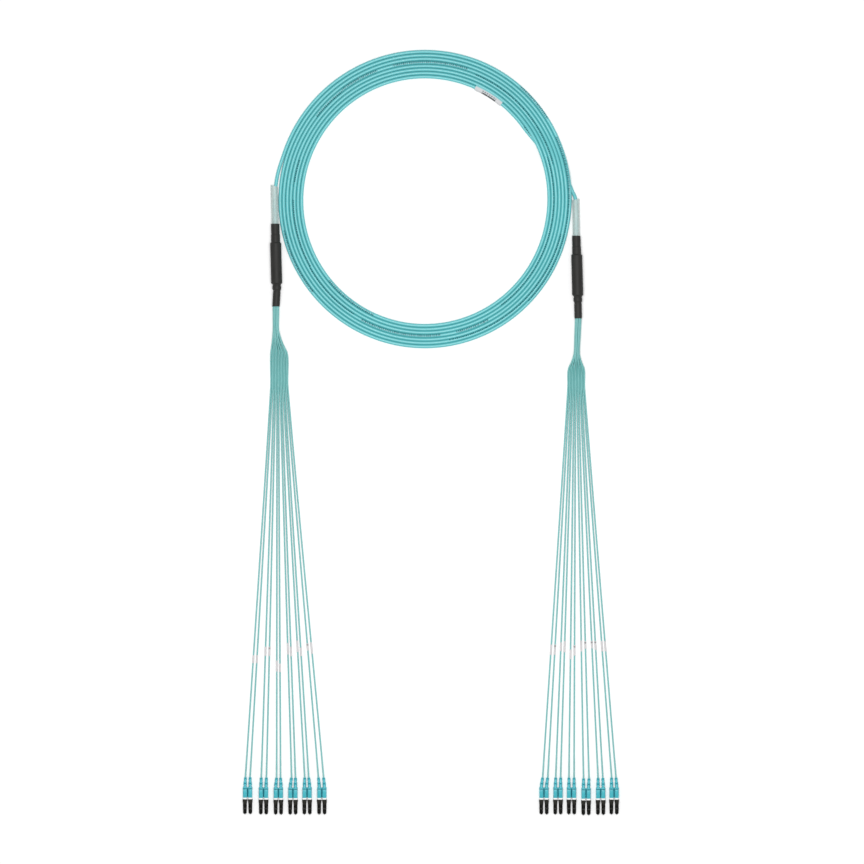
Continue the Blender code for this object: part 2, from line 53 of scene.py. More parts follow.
CENTRE = Vector(((COIL_LOW.x + COIL_HIGH.x) / 2, (COIL_LOW.y + COIL_HIGH.y) / 2, 0.0))
COIL_OUTER_RADIUS = (COIL_HIGH.x - COIL_LOW.x) / 2

# Trunk cable: the pass over the top from the left end, then seven turns, each one pitch further in
TRUNK_DIAMETER = 4.2 * MM
TRUNK_RADIUS = TRUNK_DIAMETER / 2
TRUNK_SIDES = 20
PIECE_GAP = 0.3 * MM
COIL_TURNS = 7
RUN_RADIUS = COIL_OUTER_RADIUS + TRUNK_RADIUS
LEFT_RUN_LEAVE_ANGLE = 160
SHIFT_FROM_ANGLE = 70
SHIFT_TO_ANGLE = -15
TURN_STEP = 2
COIL_SAG = 1.1 * MM
COIL_LOOSE_TOP = 0.8 * MM
COIL_LOOSE_LEFT = (0.25 * MM, 1.15 * MM)
HUMP_REACH = 46 * MM
RIGHT_RUN_START_ANGLE = 3.2
# Stretches of ticks: pass, angles from and to on the coil, tilt of the ticks outwards from the top
# The last stretch, on pass 7 where it slips under pass 6, is painted shadow drawn as ticks.
PRINT_AND_SHADE = ((3, 144, 127, -38), (3, 127, 72, 10), (4, 70, 15, 50), (5, 23, -56, 56), (0, 52, 34, 20),
         (0, 26, 5, -17), (0, 4, -2, -34), (0, -2, -46, -55), (1, -12, -81, -52), (3, -62, -120, -14),
         (3, -122, -150, -58), (4, -150, -199, 52), (6, -113, -140, 24), (0, -140, -170, -35),
         (7, 38, 28, 30))
FIRST_BEARING = 190
TRUNK_STEP = 7 * MM
FINE_STEP = 0.5 * MM
END_INSIDE = 3 * MM

# Wrap label: its angles on the coil, and its section as (outwards, up) from the innermost turn, in mm
LABEL_ANGLES = (65.9, 51.6)
LABEL_STEPS = 24
LABEL_THICKNESS = 0.22 * MM
LABEL_SECTION = ((-2.9, 0.9), (-3.4, 2.1), (-3.0, 3.35), (-2.1, 4.1), (-0.9, 4.46), (0.4, 4.48),
                 (1.5, 4.40), (2.3, 4.36), (3.1, 4.42))
INNERMOST_WITHIN = 151.5 * MM

# Film sleeves and furcations; the lengths and diameters run from the trunk side to the leg side
SLEEVE_DIAMETER = 7.8 * MM
SLEEVE_SPREAD = 0.5 * MM
SLEEVE_WALL = 0.3 * MM
SLEEVE_FLATTEN = 0.94
SLEEVE_SIDES = 40
SLEEVE_STEPS = 46
SLEEVE_LENGTH = 46 * MM
SLEEVE_TOPS = {"left": (0.0, 1.2 * MM), "right": (-2.0 * MM, -1.0 * MM)}
FURCATION_ENTRY = (10.3 * MM, 23.5 * MM)
FURCATION_BODY = (13.5 * MM, 49.7 * MM)
FURCATION_STEP = (10.6 * MM, 7.3 * MM)
FURCATION_EXIT = (9.2 * MM, 19.5 * MM)
FURCATION_SHOULDER = 1.6 * MM
FURCATION_WALL = 0.55 * MM
FURCATION_RECESS = 2.4 * MM
FURCATION_DROOP = 1.1 * MM
FURCATION_SWELL = 0.25 * MM
CREASE_REACH = 0.8 * MM
FURCATION_SECTIONS = (FURCATION_ENTRY, FURCATION_BODY, FURCATION_STEP, FURCATION_EXIT)
FURCATION_LENGTH = sum(length for _, length in FURCATION_SECTIONS)
FURCATION_AXIS_HEIGHT = FURCATION_BODY[0] / 2
FURCATION_END_HEIGHT = FURCATION_AXIS_HEIGHT - FURCATION_DROOP
FURCATION_SIDES = 48
FURCATION_STEP_LENGTH = 0.6 * MM

# Where the two ends lie from the middle of the coil
SLEEVE_LEANS = {"left": 1.3 * MM, "right": 0.4 * MM}
FURCATION_DROPS = {"left": 28.3 * MM, "right": 42.8 * MM}
FURCATION_X = {
    "left": -(COIL_OUTER_RADIUS + PIECE_GAP + SLEEVE_DIAMETER / 2)
            + SLEEVE_LEANS["left"] * FURCATION_DROPS["left"] / SLEEVE_LENGTH,
    "right": RUN_RADIUS + 3.8 * MM,
}
FURCATION_LEANS = {"left": 2.6 * MM, "right": 2.4 * MM}
FURCATION_RETURNS = {"left": 1.6 * MM, "right": 0.0}
SIDES = ("left", "right")
# The cable from the furcations to the coil, in mm: along Y, across, and above where it lies flat
RUN_RISES = {"left": ((28.0, -0.6, 1.7), (46.0, 0.6, 0.8), (64.0, 3.9, 0.2)),
             "right": ((23.0, 0.0, 2.1), (35.0, -0.3, 1.3), (46.0, -1.2, 0.9))}
RUN_DIP = (9 * MM, 0.4 * MM)

# Legs
LEG_DIAMETER = 1.8 * MM
LEG_RADIUS = LEG_DIAMETER / 2
LEG_SIDES = 14
LEG_STEP = 6 * MM
BUNDLE_ROWS = (3, 4, 3, 2)
BUNDLE_PITCH = 2.1 * MM
RIBBON_PITCHES = {"left": 1.88 * MM, "right": 1.82 * MM}
RIBBON_SHIFTS = {"left": 3.9 * MM, "right": -2.3 * MM}
BUNDLE_LENGTHS = {"left": 28.8 * MM, "right": 43.0 * MM}
SPREAD_LENGTHS = {"left": 33.0 * MM, "right": 21.5 * MM}
BUNDLE_LEANS = {"left": -0.2 * MM, "right": -1.8 * MM}
BUNDLE_PINCH = 0.88
FAN_STARTS = {"left": 98.5 * MM, "right": 84.0 * MM}
SPREAD_STAGGER = (0.0, 1.8, -0.9, 2.2, 0.5, -1.6, 1.5, -0.6, 2.2, 0.0, -1.6, 0.4)
LEG_RISE_LENGTH = 30.0 * MM
LEG_RISE_BEND = 0.4
LEG_RISE_SHARE = 0.75

# White tags on the legs: how far each one's lower end is from the connector's face, and its length
TAGS = {
    "left": ((162.6, 9.6), (162.6, 9.6), (171.8, 11.0), (171.8, 11.0), (153.0, 13.2), (152.3, 10.3),
             (173.6, 14.0), (171.4, 11.8), (176.5, 13.9), (171.4, 10.3), (178.0, 8.9), (174.3, 14.0)),
    "right": ((172.9, 12.5), (172.9, 12.5), (177.7, 10.5), (176.1, 13.6), (167.8, 11.8), (172.1, 12.5),
              (178.0, 13.3), (181.3, 9.1), (181.3, 9.1), (179.5, 10.9), (177.2, 12.6), (177.2, 12.6)),
}
TAG_DIAMETER = 2.3 * MM
TAG_SIDES = 16
TAG_STEPS = 6
MARKED_TAGS = {"left": (4, 11), "right": (2, 6, 8, 9, 10)}

# Duplex connectors and dust caps
CONNECTORS_PER_END = 6
CORNER_STEPS = 6
PORT_PITCH = 6.25 * MM
PORTS = (-PORT_PITCH / 2, PORT_PITCH / 2)
HOUSING_WIDTH = 4.95 * MM
HOUSING_HEIGHT = 5.6 * MM
AXIS_HEIGHT = HOUSING_HEIGHT / 2
LATCH_WIDTH = 3.2 * MM
LATCH_ROOT = 0.9 * MM
LATCH_THICKNESS = 0.9 * MM
LATCH_LENGTH = 8.4 * MM
LATCH_RISE = 3.0 * MM
CLIP_BACK = 12.1 * MM
CLIP_FRONT = 10.2 * MM
CLIP_PROUD = 0.15 * MM
BOOT_BASE = 4.6 * MM
BOOT_TIP = 3.3 * MM
BOOT_LENGTH = 12.2 * MM
BOOT_SLOTS = (2.4 * MM, 3.0 * MM)
BOOT_SLOT_WIDTH = 1.35 * MM
BOOT_SLOT_DEPTH = 0.85 * MM
BOOT_INSIDE = 0.6 * MM
BOOT_STEPS = 64
BOOT_CURL = 1.6
# How far the tip of each boot is bent aside by its leg, in millimetres, two boots to a connector
BOOT_BENDS = {"left": ((0.5, -0.1), (0.4, 0.4), (1.0, -0.5), (1.5, 0.0), (0.2, -1.2), (-1.1, -1.0)),
              "right": ((1.6, 1.5), (0.4, 0.1), (0.0, 0.0), (0.1, 0.5), (0.0, -0.5), (0.1, -0.8))}
NOSE_WIDTH = 4.42 * MM
NOSE_LENGTH = 4.4 * MM
FERRULE_DIAMETER = 1.25 * MM
FERRULE_LENGTH = 4.0 * MM
CAP_MOUTH = 2.3 * MM
CAP_LENGTH = 18.2 * MM
CAP_WALL = 0.28 * MM
CAP_CLEARANCE = 0.13 * MM
CAP_SPLAY = 0.17 * MM
CAP_TUBE = 4.6 * MM
CAP_TIP = 4.3 * MM

# Camera: straight above, the view's middle and its width at the height of the cables
VIEW_MIDDLE = (1.4 * MM, 0.95 * MM)
VIEW_WIDTH = 1047.6 * MM
VIEW_HEIGHT = 3.0 * MM
LENS = 200.0
SENSOR = 36.0
ROOM_STRENGTH = 0.505
SOFTBOX_SIZE = 1.3
SOFTBOX_POWER = 55.0
SOFTBOX_HEIGHT = 2.6


class Maths:
    """A number in a node tree: an expression on it adds the Math nodes that work it out."""

    def __init__(self, nodes, socket):
        self.nodes, self.socket = nodes, socket

    def __add__(self, other):
        return self.nodes.maths("ADD", self, other)

    def __sub__(self, other):
        return self.nodes.maths("SUBTRACT", self, other)

    def __rsub__(self, other):
        return self.nodes.maths("SUBTRACT", other, self)

    def __mul__(self, other):
        return self.nodes.maths("MULTIPLY", self, other)

    def __truediv__(self, other):
        return self.nodes.maths("DIVIDE", self, other)

    __radd__ = __add__
    __rmul__ = __mul__


class Nodes:
    """Adds nodes to a tree, either a material's or a shape's."""

    def __init__(self, tree):
        self.tree = tree

    def node(self, kind, settings=None, **inputs):
        """Add a node: its settings first, then the values or links of its sockets by name."""
        made = self.tree.nodes.new(kind)
        for key, value in (settings or {}).items():
            setattr(made, key, value)
        return self.fill(made, **inputs)

    def fill(self, made, **inputs):
        for key, value in inputs.items():
            self.feed(made.inputs[key.replace("_", " ")], value)
        return made

    def feed(self, socket, value):
        value = value.socket if isinstance(value, Maths) else value
        if isinstance(value, bpy.types.NodeSocket):
            self.tree.links.new(value, socket)
        else:
            socket.default_value = value

    def maths(self, operation, *values):
        made = self.tree.nodes.new("ShaderNodeMath")
        made.operation = operation
        for socket, value in zip(made.inputs, values):
            self.feed(socket, value)
        return Maths(self, made.outputs[0])

    def between(self, value, low, high):
        """0 at low, 1 at high, with a smooth step between; low may be above high."""
        made = self.node("ShaderNodeMapRange", {"interpolation_type": "SMOOTHSTEP"}, Value=value,
                         From_Min=low, From_Max=high)
        return Maths(self, made.outputs["Result"])


class Finish(Nodes):
    """A procedural material: one Principled surface and what feeds it."""

    def __init__(self, name, colour, roughness, **sockets):
        self.material = bpy.data.materials.new(name)
        self.material.use_nodes = True
        super().__init__(self.material.node_tree)
        self.surface = self.tree.nodes["Principled BSDF"]
        self.drive(Base_Color=(*colour, 1.0), Roughness=roughness, **sockets)
        self.material.diffuse_color = (*colour, 1.0)
        self.place = self.node("ShaderNodeTexCoord").outputs["Object"]

    def number(self, name):
        return Maths(self, self.node("ShaderNodeAttribute", {"attribute_name": name}).outputs["Fac"])

    def noise(self, scale, detail=3.0, roughness=0.5, at=None):
        made = self.node("ShaderNodeTexNoise", Scale=scale, Detail=detail, Roughness=roughness,
                         Vector=at or self.place)
        return Maths(self, made.outputs["Fac"])

    def stretched(self, x, y, z):
        """Object coordinates scaled along each axis."""
        return self.node("ShaderNodeMapping", Vector=self.place, Scale=(x, y, z)).outputs[0]

    def joined(self, x, y, z=0.0):
        return self.node("ShaderNodeCombineXYZ", X=x, Y=y, Z=z).outputs[0]

    def blend(self, amount, first, second):
        """Mix two colours, each given as numbers or as a socket."""
        made = self.node("ShaderNodeMix", {"data_type": "RGBA"})
        self.feed(made.inputs[0], amount)
        for socket, colour in ((made.inputs[6], first), (made.inputs[7], second)):
            self.feed(socket, (*colour, 1.0) if isinstance(colour, tuple) else colour)
        return made.outputs[2]

    def bump(self, height, distance, strength=1.0):
        made = self.node("ShaderNodeBump", Height=height, Distance=distance, Strength=strength)
        self.drive(Normal=made.outputs[0])

    def drive(self, **sockets):
        """Feed sockets of the surface by name."""
        self.fill(self.surface, **sockets)


def shade(colour, factor):
    return tuple(channel * factor for channel in colour)


AQUA_TRUNK = (0.108, 0.465, 0.488)
AQUA_LEG = (0.128, 0.405, 0.395)
AQUA_CONNECTOR = (0.056, 0.425, 0.490)
# colour of the painted shade in slots, grooves and gaps
PAINTED_SHADE_AQUA = (0.001, 0.125, 0.170)
INK_AND_SHADE = (0.001, 0.120, 0.140)


def jacket_finish(name, colour, with_ticks):
    """Drawn plastic jacket: faint lengthwise draw lines, cloudy tone, and a row of plain ticks."""
    made = Finish(name, colour, 0.32, Specular_IOR_Level=0.6)
    along, side, up = made.number("along"), made.number("side"), made.number("up")
    wrapped = made.joined(along * 12.0, side * 3.0, up * 3.0)
    cloud = made.noise(9.0, 3.0)
    lines = made.noise(5.0, 2.0, at=made.joined(along * 3.0, side * 9.0, up * 9.0))
    grain = made.noise(900.0, 2.0)
    tone = made.blend(cloud, shade(colour, 0.92), shade(colour, 1.08))
    if with_ticks:
        lane = made.between(made.number("print"), 0.74, 0.79)
        sway = made.noise(1.0, 0.0, at=made.joined(along * 330.0, 0.0))
        ticks = made.between(made.maths("FRACT", along * 430.0 + sway), 0.34, 0.42)
        words = made.between(made.noise(1.0, 0.0, at=made.joined(along * 26.0, 5.0)), 0.34, 0.37)
        # ticks in ink colour: printing on the jacket, and on the stretch where pass 7 runs under pass 6,
        # painted shadow
        tone = made.blend(lane * ticks * words * 0.9, tone, INK_AND_SHADE)
    made.drive(Base_Color=tone, Roughness=0.26 + 0.14 * made.noise(5.0, 2.0, at=wrapped))
    made.bump(lines * 0.6 + grain * 0.4, 0.05 * MM, 0.5)
    return made.material


def connector_finish():
    """Moulded plastic of housings, boots and clips: spark texture, slight flow marks, painted shade in
    slots and gaps.
    """
    made = Finish("aqua_moulding", AQUA_CONNECTOR, 0.3, Specular_IOR_Level=0.4)
    flow = made.noise(260.0, 3.0)
    spark = made.noise(5200.0, 2.0)
    tone = made.blend(flow, shade(AQUA_CONNECTOR, 0.90), shade(AQUA_CONNECTOR, 1.10))
    # painted shade: where a piece stores it, slot floors, a housing groove and the clip's gap are darkened
    # to a deep teal
    painted_shade = made.number("painted_shade")
    made.drive(Base_Color=made.blend(painted_shade * 0.95, tone, PAINTED_SHADE_AQUA),
               Roughness=0.28 + 0.16 * flow + 0.5 * painted_shade)
    made.bump(spark, 0.02 * MM, 0.6)
    return made.material


def white_plastic_finish():
    made = Finish("white_moulding", (0.80, 0.81, 0.80), 0.32)
    flow = made.noise(300.0, 2.0)
    made.drive(Base_Color=made.blend(flow, (0.77, 0.78, 0.77), (0.83, 0.83, 0.82)),
               Roughness=0.28 + 0.12 * flow)
    return made.material


def ceramic_finish():
    made = Finish("polished_ceramic", (0.84, 0.83, 0.80), 0.12)
    made.drive(Roughness=0.08 + 0.1 * made.noise(900.0, 2.0))
    return made.material


def cap_finish():
    """Soft black rubber: cloudy sheen with a little dust, a painted sheen on the collar and a painted
    highlight on the ring.
    """
    made = Finish("cap_rubber", (0.006, 0.006, 0.005), 0.5, Specular_IOR_Level=0.08)
    dust = made.noise(420.0, 4.0, 0.6)
    along = made.number("along")
    # painted sheen: the collar near the mouth is made lighter, as if its flat top caught more light
    collar = made.between(along, 7.5 * MM, 4.5 * MM)
    # painted highlight: a lighter band on the raised ring about 11 mm from the mouth
    ring = made.between(made.maths("ABSOLUTE", along - 11.0 * MM), 0.5 * MM, 0.3 * MM)
    tone = made.blend(dust, (0.0015, 0.0015, 0.0012), (0.006, 0.006, 0.005))
    tone = made.blend(collar * 0.8, tone, (0.022, 0.022, 0.018))
    made.drive(Base_Color=made.blend(ring, tone, (0.055, 0.055, 0.050)),
               Roughness=0.42 + 0.22 * made.noise(150.0, 3.0))
    made.bump(made.noise(2600.0, 2.0), 0.03 * MM, 0.5)
    return made.material


def shrink_finish():
    """Heat-shrink tube: long soft creases and a satin, slightly dusty face."""
    made = Finish("black_shrink", (0.018, 0.018, 0.017), 0.55, Specular_IOR_Level=0.24)
    creases = made.noise(1.0, 4.0, 0.55, at=made.stretched(260.0, 38.0, 260.0))
    dust = made.noise(90.0, 4.0)
    made.drive(Base_Color=made.blend(dust, (0.012, 0.012, 0.011), (0.026, 0.026, 0.024)),
               Roughness=0.48 + 0.2 * dust)
    made.bump(creases + 0.2 * made.noise(1800.0, 2.0), 0.25 * MM, 0.7)
    return made.material


def film_finish():
    """Cloudy clear film with long streaks."""
    made = Finish("clear_film", (0.58, 0.68, 0.66), 0.28)
    streaks = made.noise(1.0, 3.0, 0.6, at=made.stretched(900.0, 25.0, 900.0))
    made.drive(Base_Color=made.blend(streaks, (0.46, 0.60, 0.58), (0.72, 0.78, 0.76)),
               Alpha=0.22 + 0.36 * streaks)
    made.bump(streaks, 0.12 * MM, 0.8)
    return made.material


def tag_finish(name, marked):
    """Thin white tube on a leg, a little see-through; some show a plain dark bar near the upper end."""
    made = Finish(name, (0.62, 0.60, 0.61), 0.35)
    tone = made.blend(made.noise(500.0, 2.0), (0.57, 0.55, 0.56), (0.67, 0.65, 0.66))
    if marked:
        bar = made.between(made.maths("ABSOLUTE", made.number("along") - 1.8 * MM), 1.0 * MM, 0.8 * MM)
        tone = made.blend(bar * 0.7, tone, (0.08, 0.08, 0.08))
    made.drive(Base_Color=tone, Alpha=0.80 + 0.15 * made.noise(600.0, 2.0))
    return made.material


def label_finish():
    """White wrap with plain dark blocks, a row of plain strokes and a clear edge."""
    made = Finish("white_label", (0.50, 0.51, 0.52), 0.5, Specular_IOR_Level=0.3)
    along, across = made.number("along"), made.number("across")
    inside = made.between(made.maths("ABSOLUTE", along - 0.52), 0.27, 0.25)
    blocks = made.between(made.noise(1.0, 0.0, at=made.joined(along * 16.0, 2.0)), 0.36, 0.40)
    dark = made.between(made.maths("ABSOLUTE", across - 0.30), 0.14, 0.11) * inside * blocks
    pale = made.between(made.maths("ABSOLUTE", across - 0.57), 0.09, 0.07) * inside
    strokes = made.between(made.maths("FRACT", along * 12.0), 0.70, 0.62)
    clear = made.between(across, 0.72, 0.84)
    tone = made.blend(made.noise(120.0, 3.0), (0.46, 0.48, 0.50), (0.58, 0.58, 0.59))
    tone = made.blend(clear * 0.85, tone, AQUA_TRUNK)
    tone = made.blend(pale * strokes * 0.75, tone, (0.08, 0.14, 0.16))
    made.drive(Base_Color=made.blend(dark * 0.9, tone, (0.025, 0.03, 0.03)))
    made.bump(made.noise(1500.0, 2.0), 0.02 * MM, 0.5)
    return made.material


def floor_finish():
    made = Finish("pale_floor", (0.88, 0.88, 0.88), 0.7, Specular_IOR_Level=0.2)
    made.drive(Base_Color=made.blend(made.noise(3.0, 2.0), (0.87, 0.87, 0.87), (0.89, 0.89, 0.89)))
    return made.material


def new_shape(name, sockets):
    """A geometry tree with named inputs; gives its nodes and its group input."""
    tree = bpy.data.node_groups.new(name, "GeometryNodeTree")
    tree.interface.new_socket("Geometry", in_out="OUTPUT", socket_type="NodeSocketGeometry")
    for label, kind in (("Geometry", "Geometry"), *sockets):
        tree.interface.new_socket(label, in_out="INPUT", socket_type=f"NodeSocket{kind}")
    made = Nodes(tree)
    return made, made.node("NodeGroupInput").outputs


def end_shape(made, geometry, finish):
    """End a tree in smooth faces, Realize Instances and Set Material."""
    smooth = made.node("GeometryNodeSetShadeSmooth", Geometry=geometry).outputs[0]
    real = made.node("GeometryNodeRealizeInstances", Geometry=smooth).outputs[0]
    dressed = made.node("GeometryNodeSetMaterial", Geometry=real, Material=finish).outputs[0]
    made.tree.links.new(dressed, made.node("NodeGroupOutput").inputs[0])
    return made.tree


def keep(made, geometry, name, value):
    """Store a number on the points under a name that a material reads."""
    return made.node("GeometryNodeStoreNamedAttribute", {"data_type": "FLOAT", "domain": "POINT"},
                     Geometry=geometry, Name=name, Value=value).outputs[0]


def remember(made, curve, **values):
    """Capture numbers on a curve, to be read again on the mesh that is swept from it."""
    held = made.node("GeometryNodeCaptureAttribute", Geometry=curve)
    for name, value in values.items():
        held.capture_items.new("FLOAT", name)
        made.feed(held.inputs[name], value)
    return held.outputs


def sweep(made, line, radius, sides, **values):
    """Sweep a circle along a line; gives the mesh, what the line remembers and what the circle does."""
    sized = made.node("GeometryNodeSetCurveRadius", Curve=line, Radius=radius).outputs[0]
    upright = made.node("GeometryNodeSetCurveNormal", {"mode": "Z_UP"}, Curve=sized).outputs[0]
    ring = made.node("GeometryNodeCurvePrimitiveCircle", Resolution=sides, Radius=1.0).outputs[0]
    place = made.node("GeometryNodeInputPosition").outputs[0]
    split = made.node("ShaderNodeSeparateXYZ", Vector=place).outputs
    on_line = remember(made, upright, **values)
    on_ring = remember(made, ring, Side=split["X"], Up=split["Y"])
    tube = made.node("GeometryNodeCurveToMesh", Curve=on_line["Geometry"],
                     Profile_Curve=on_ring["Geometry"], Fill_Caps=True,
                     Scale=made.node("GeometryNodeInputRadius").outputs[0])
    return tube.outputs[0], on_line, on_ring


def jacket_tree():
    """A round jacket along a curve, which remembers how far along and which way round each point is."""
    made, given = new_shape("round_jacket", (("Radius", "Float"), ("Sides", "Int"), ("Finish", "Material")))
    length = made.node("GeometryNodeSplineParameter").outputs["Length"]
    mesh, on_line, on_ring = sweep(made, given["Geometry"], given["Radius"], given["Sides"], Along=length)
    for name, value in (("along", on_line["Along"]), ("side", on_ring["Side"]), ("up", on_ring["Up"])):
        mesh = keep(made, mesh, name, value)
    return end_shape(made, mesh, given["Finish"])


def boot_tree():
    """A tapered boot along a line, with slots cut in turn in its two sides and in its top and bottom."""
    sizes = ("Base Radius", "Tip Radius", "First Slot", "Slot Pitch", "Slot Width", "Slot Depth")
    made, given = new_shape("slotted_boot", [(name, "Float") for name in sizes] + [("Finish", "Material")])
    base, tip, first, pitch, width, depth = (Maths(made, given[name]) for name in sizes)
    spline = made.node("GeometryNodeSplineParameter").outputs
    share, along = Maths(made, spline["Factor"]), Maths(made, spline["Length"])
    count = (along - first) / pitch + 0.5
    phase = made.maths("FRACT", count) - 0.5
    slot = made.between(made.maths("ABSOLUTE", phase * pitch), width * 0.5, width * 0.34)
    rounded = 1.0 - 0.3 * made.between(share, 0.97, 1.0)
    mesh, on_line, on_ring = sweep(made, given["Geometry"], (base + (tip - base) * share) * rounded, 32,
                                   Slot=slot * (1.0 - 0.34 * share),
                                   Turn=made.maths("MODULO", made.maths("FLOOR", count), 2.0))
    aside, upward = (made.maths("ABSOLUTE", Maths(made, on_ring[name])) for name in ("Side", "Up"))
    facing = aside + (upward - aside) * Maths(made, on_line["Turn"])
    cut = Maths(made, on_line["Slot"]) * made.between(facing, 0.52, 0.66)
    normal = made.node("GeometryNodeInputNormal").outputs[0]
    inward = made.node("ShaderNodeVectorMath", {"operation": "SCALE"}, Vector=normal,
                       Scale=cut * depth * -1.0).outputs[0]
    carved = made.node("GeometryNodeSetPosition", Geometry=mesh, Offset=inward).outputs[0]
    # painted shade: how deep each point is cut is stored, so the slot floors are darkened as if in shadow
    return end_shape(made, keep(made, carved, "painted_shade", cut), given["Finish"])


def new_object(name, data):
    """Put data in the scene as an object."""
    item = bpy.data.objects.new(name, data)
    bpy.context.scene.collection.objects.link(item)
    return item


def swept(tree, name, points, **inputs):
    """Run a shape tree on an open line through the points and give back a plain mesh."""
    curve = bpy.data.curves.new(name, "CURVE")
    curve.dimensions = "3D"
    spline = curve.splines.new("POLY")
    spline.points.add(len(points) - 1)
    for target, point in zip(spline.points, points):
        target.co = (*point, 1.0)
    guide = new_object(name, curve)
    modifier = guide.modifiers.new("shape", "NODES")
    modifier.node_group = tree
    for socket in tree.interface.items_tree:
        key = socket.name.replace(" ", "_")
        if socket.in_out == "INPUT" and key in inputs:
            modifier[socket.identifier] = inputs[key]
    guide.update_tag()
    bpy.context.view_layer.update()
    evaluated = guide.evaluated_get(bpy.context.evaluated_depsgraph_get())
    mesh = bpy.data.meshes.new_from_object(evaluated)
    mesh.name = name
    bpy.data.objects.remove(guide, do_unlink=True)
    bpy.data.curves.remove(curve)
    return mesh


def outward(mesh):
    """Recalculate the faces of a closed mesh so that they point out."""
    shape = bmesh.new()
    shape.from_mesh(mesh)
    bmesh.ops.remove_doubles(shape, verts=shape.verts, dist=0.001 * MM)
    bmesh.ops.recalc_face_normals(shape, faces=shape.faces)
    shape.to_mesh(mesh)
    shape.free()
    return mesh


def piece(name, mesh, finish, body="root", stands_for=(), spot=None):
    """Put a mesh, or its copy at a spot, in the scene with its body and the nodes it stands for."""
    if spot is not None:
        mesh = mesh.copy()
        mesh.name = name
        mesh.transform(Matrix.Translation(spot))
    item = new_object(name, outward(mesh))
    if not mesh.materials:
        mesh.materials.append(finish)
    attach(item, body)
    if stands_for:
        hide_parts(*stands_for)
    return item


def store(mesh, name, values):
    """Keep a number on each point of a mesh under a name that a material reads."""
    mesh.attributes.new(name, "FLOAT", "POINT").data.foreach_set("value", [float(v) for v in values])


def polar(radius, degrees, z=TRUNK_RADIUS):
    angle = math.radians(degrees)
    return CENTRE + Vector((radius * math.cos(angle), radius * math.sin(angle), z))


def from_centre(x, y, z):
    return CENTRE + Vector((x, y, z))


def eased(share):
    """0 at 0 and below, 1 at 1 and above, with a smooth step between."""
    share = min(max(share, 0.0), 1.0)
    return share * share * (3 - 2 * share)


def measured(points):
    """Points as an array, and how far along the line each of them is."""
    line = np.array([point[:] for point in points])
    return line, np.concatenate([[0.0], np.cumsum(np.linalg.norm(np.diff(line, axis=0), axis=1))])


def smooth_route(points, step, floor):
    """Points no further apart than a step on a smooth curve through a route, kept above the floor."""
    knots = [0.0]
    for before, after in zip(points, points[1:]):
        knots.append(knots[-1] + (after - before).length)
    slopes = []
    for i in range(len(points)):
        lower, upper = max(i - 1, 0), min(i + 1, len(points) - 1)
        slopes.append((points[upper] - points[lower]) / (knots[upper] - knots[lower]))
    read = [points[0].copy()]
    for i in range(len(points) - 1):
        span = knots[i + 1] - knots[i]
        count = max(1, math.ceil(span / step))
        for k in range(1, count + 1):
            t = k / count
            read.append((2 * t ** 3 - 3 * t ** 2 + 1) * points[i]
                        + (t ** 3 - 2 * t ** 2 + t) * span * slopes[i]
                        + (3 * t ** 2 - 2 * t ** 3) * points[i + 1]
                        + (t ** 3 - t ** 2) * span * slopes[i + 1])
    for point in read:
        point.z = max(point.z, floor)
    return read


def run_points(side):
    """From inside a furcation up through its sleeve to the coil's outer side."""
    end = -FURCATION_DROPS[side] + PIECE_GAP
    points = [(-END_INSIDE, 0.0, FURCATION_END_HEIGHT), (0.0, 0.0, FURCATION_END_HEIGHT),
              (RUN_DIP[0], 0.0, FURCATION_END_HEIGHT - RUN_DIP[1])]
    points += [(along * MM, across * MM, TRUNK_RADIUS + up * MM) for along, across, up in RUN_RISES[side]]
    return [from_centre(FURCATION_X[side] + across, end + along, z) for along, across, z in points]


def coil_passes():
    """The passes of the coil, clockwise from the left end; each moves in one pitch past the top right."""
    radii = [RUN_RADIUS]
    for turn in range(COIL_TURNS):
        radii.append(COIL_OUTER_RADIUS - (turn + 0.5) * TRUNK_DIAMETER)
    points = []
    last = SHIFT_FROM_ANGLE - 360 * COIL_TURNS
    for degrees in range(LEFT_RUN_LEAVE_ANGLE, last, -TURN_STEP):
        lap = max((SHIFT_FROM_ANGLE - degrees) // 360, 0)
        share = eased((SHIFT_FROM_ANGLE - degrees - 360 * lap) / (SHIFT_FROM_ANGLE - SHIFT_TO_ANGLE))
        radius = radii[lap] + (radii[lap + 1] - radii[lap]) * share
        depth = (lap + share) / COIL_TURNS
        angle = math.radians(degrees)
        radius += COIL_SAG * max(-math.sin(angle), 0.0) ** 2
        radius += COIL_LOOSE_TOP * (1 - depth) * max(math.sin(angle), 0.0) ** 2
        radius -= (COIL_LOOSE_LEFT[0] + (COIL_LOOSE_LEFT[1] - COIL_LOOSE_LEFT[0]) * depth) \
            * max(-math.cos(angle), 0.0) ** 2
        points.append(polar(radius, degrees))
    return points


def under_crossing():
    """The innermost turn leaves its circle and runs nearly straight under the other turns."""
    circle = ((150.5, 66), (150.4, 58), (150.0, 50), (149.7, 41.2))
    straight = ((119.9, 89.1), (127.4, 79.7), (137.9, 67.3), (152.2, 50.8), (165.5, 34.7), (175.9, 18.9))
    return [polar(radius * MM, degrees) for radius, degrees in circle] \
        + [from_centre(x * MM, y * MM, TRUNK_RADIUS) for x, y in straight]


def ride_over(upper, under):
    """Lift the upper turns over the crossing in one long low hump each."""
    high, along = measured(upper)
    fine, _ = measured(smooth_route(under, FINE_STEP, TRUNK_RADIUS))
    near = np.full(len(high), np.inf)
    for i, point in enumerate(high):
        near[i] = np.sqrt(((fine[:, :2] - point[:2]) ** 2).sum(1).min())
    need = np.sqrt(np.maximum(TRUNK_DIAMETER ** 2 - near ** 2, 0.0))
    for i, point in enumerate(upper):
        close = np.abs(along - along[i]) < HUMP_REACH
        fall = np.cos(np.pi / 2 * np.abs(along[close] - along[i]) / HUMP_REACH) ** 2
        point.z += float((need[close] * fall).max())


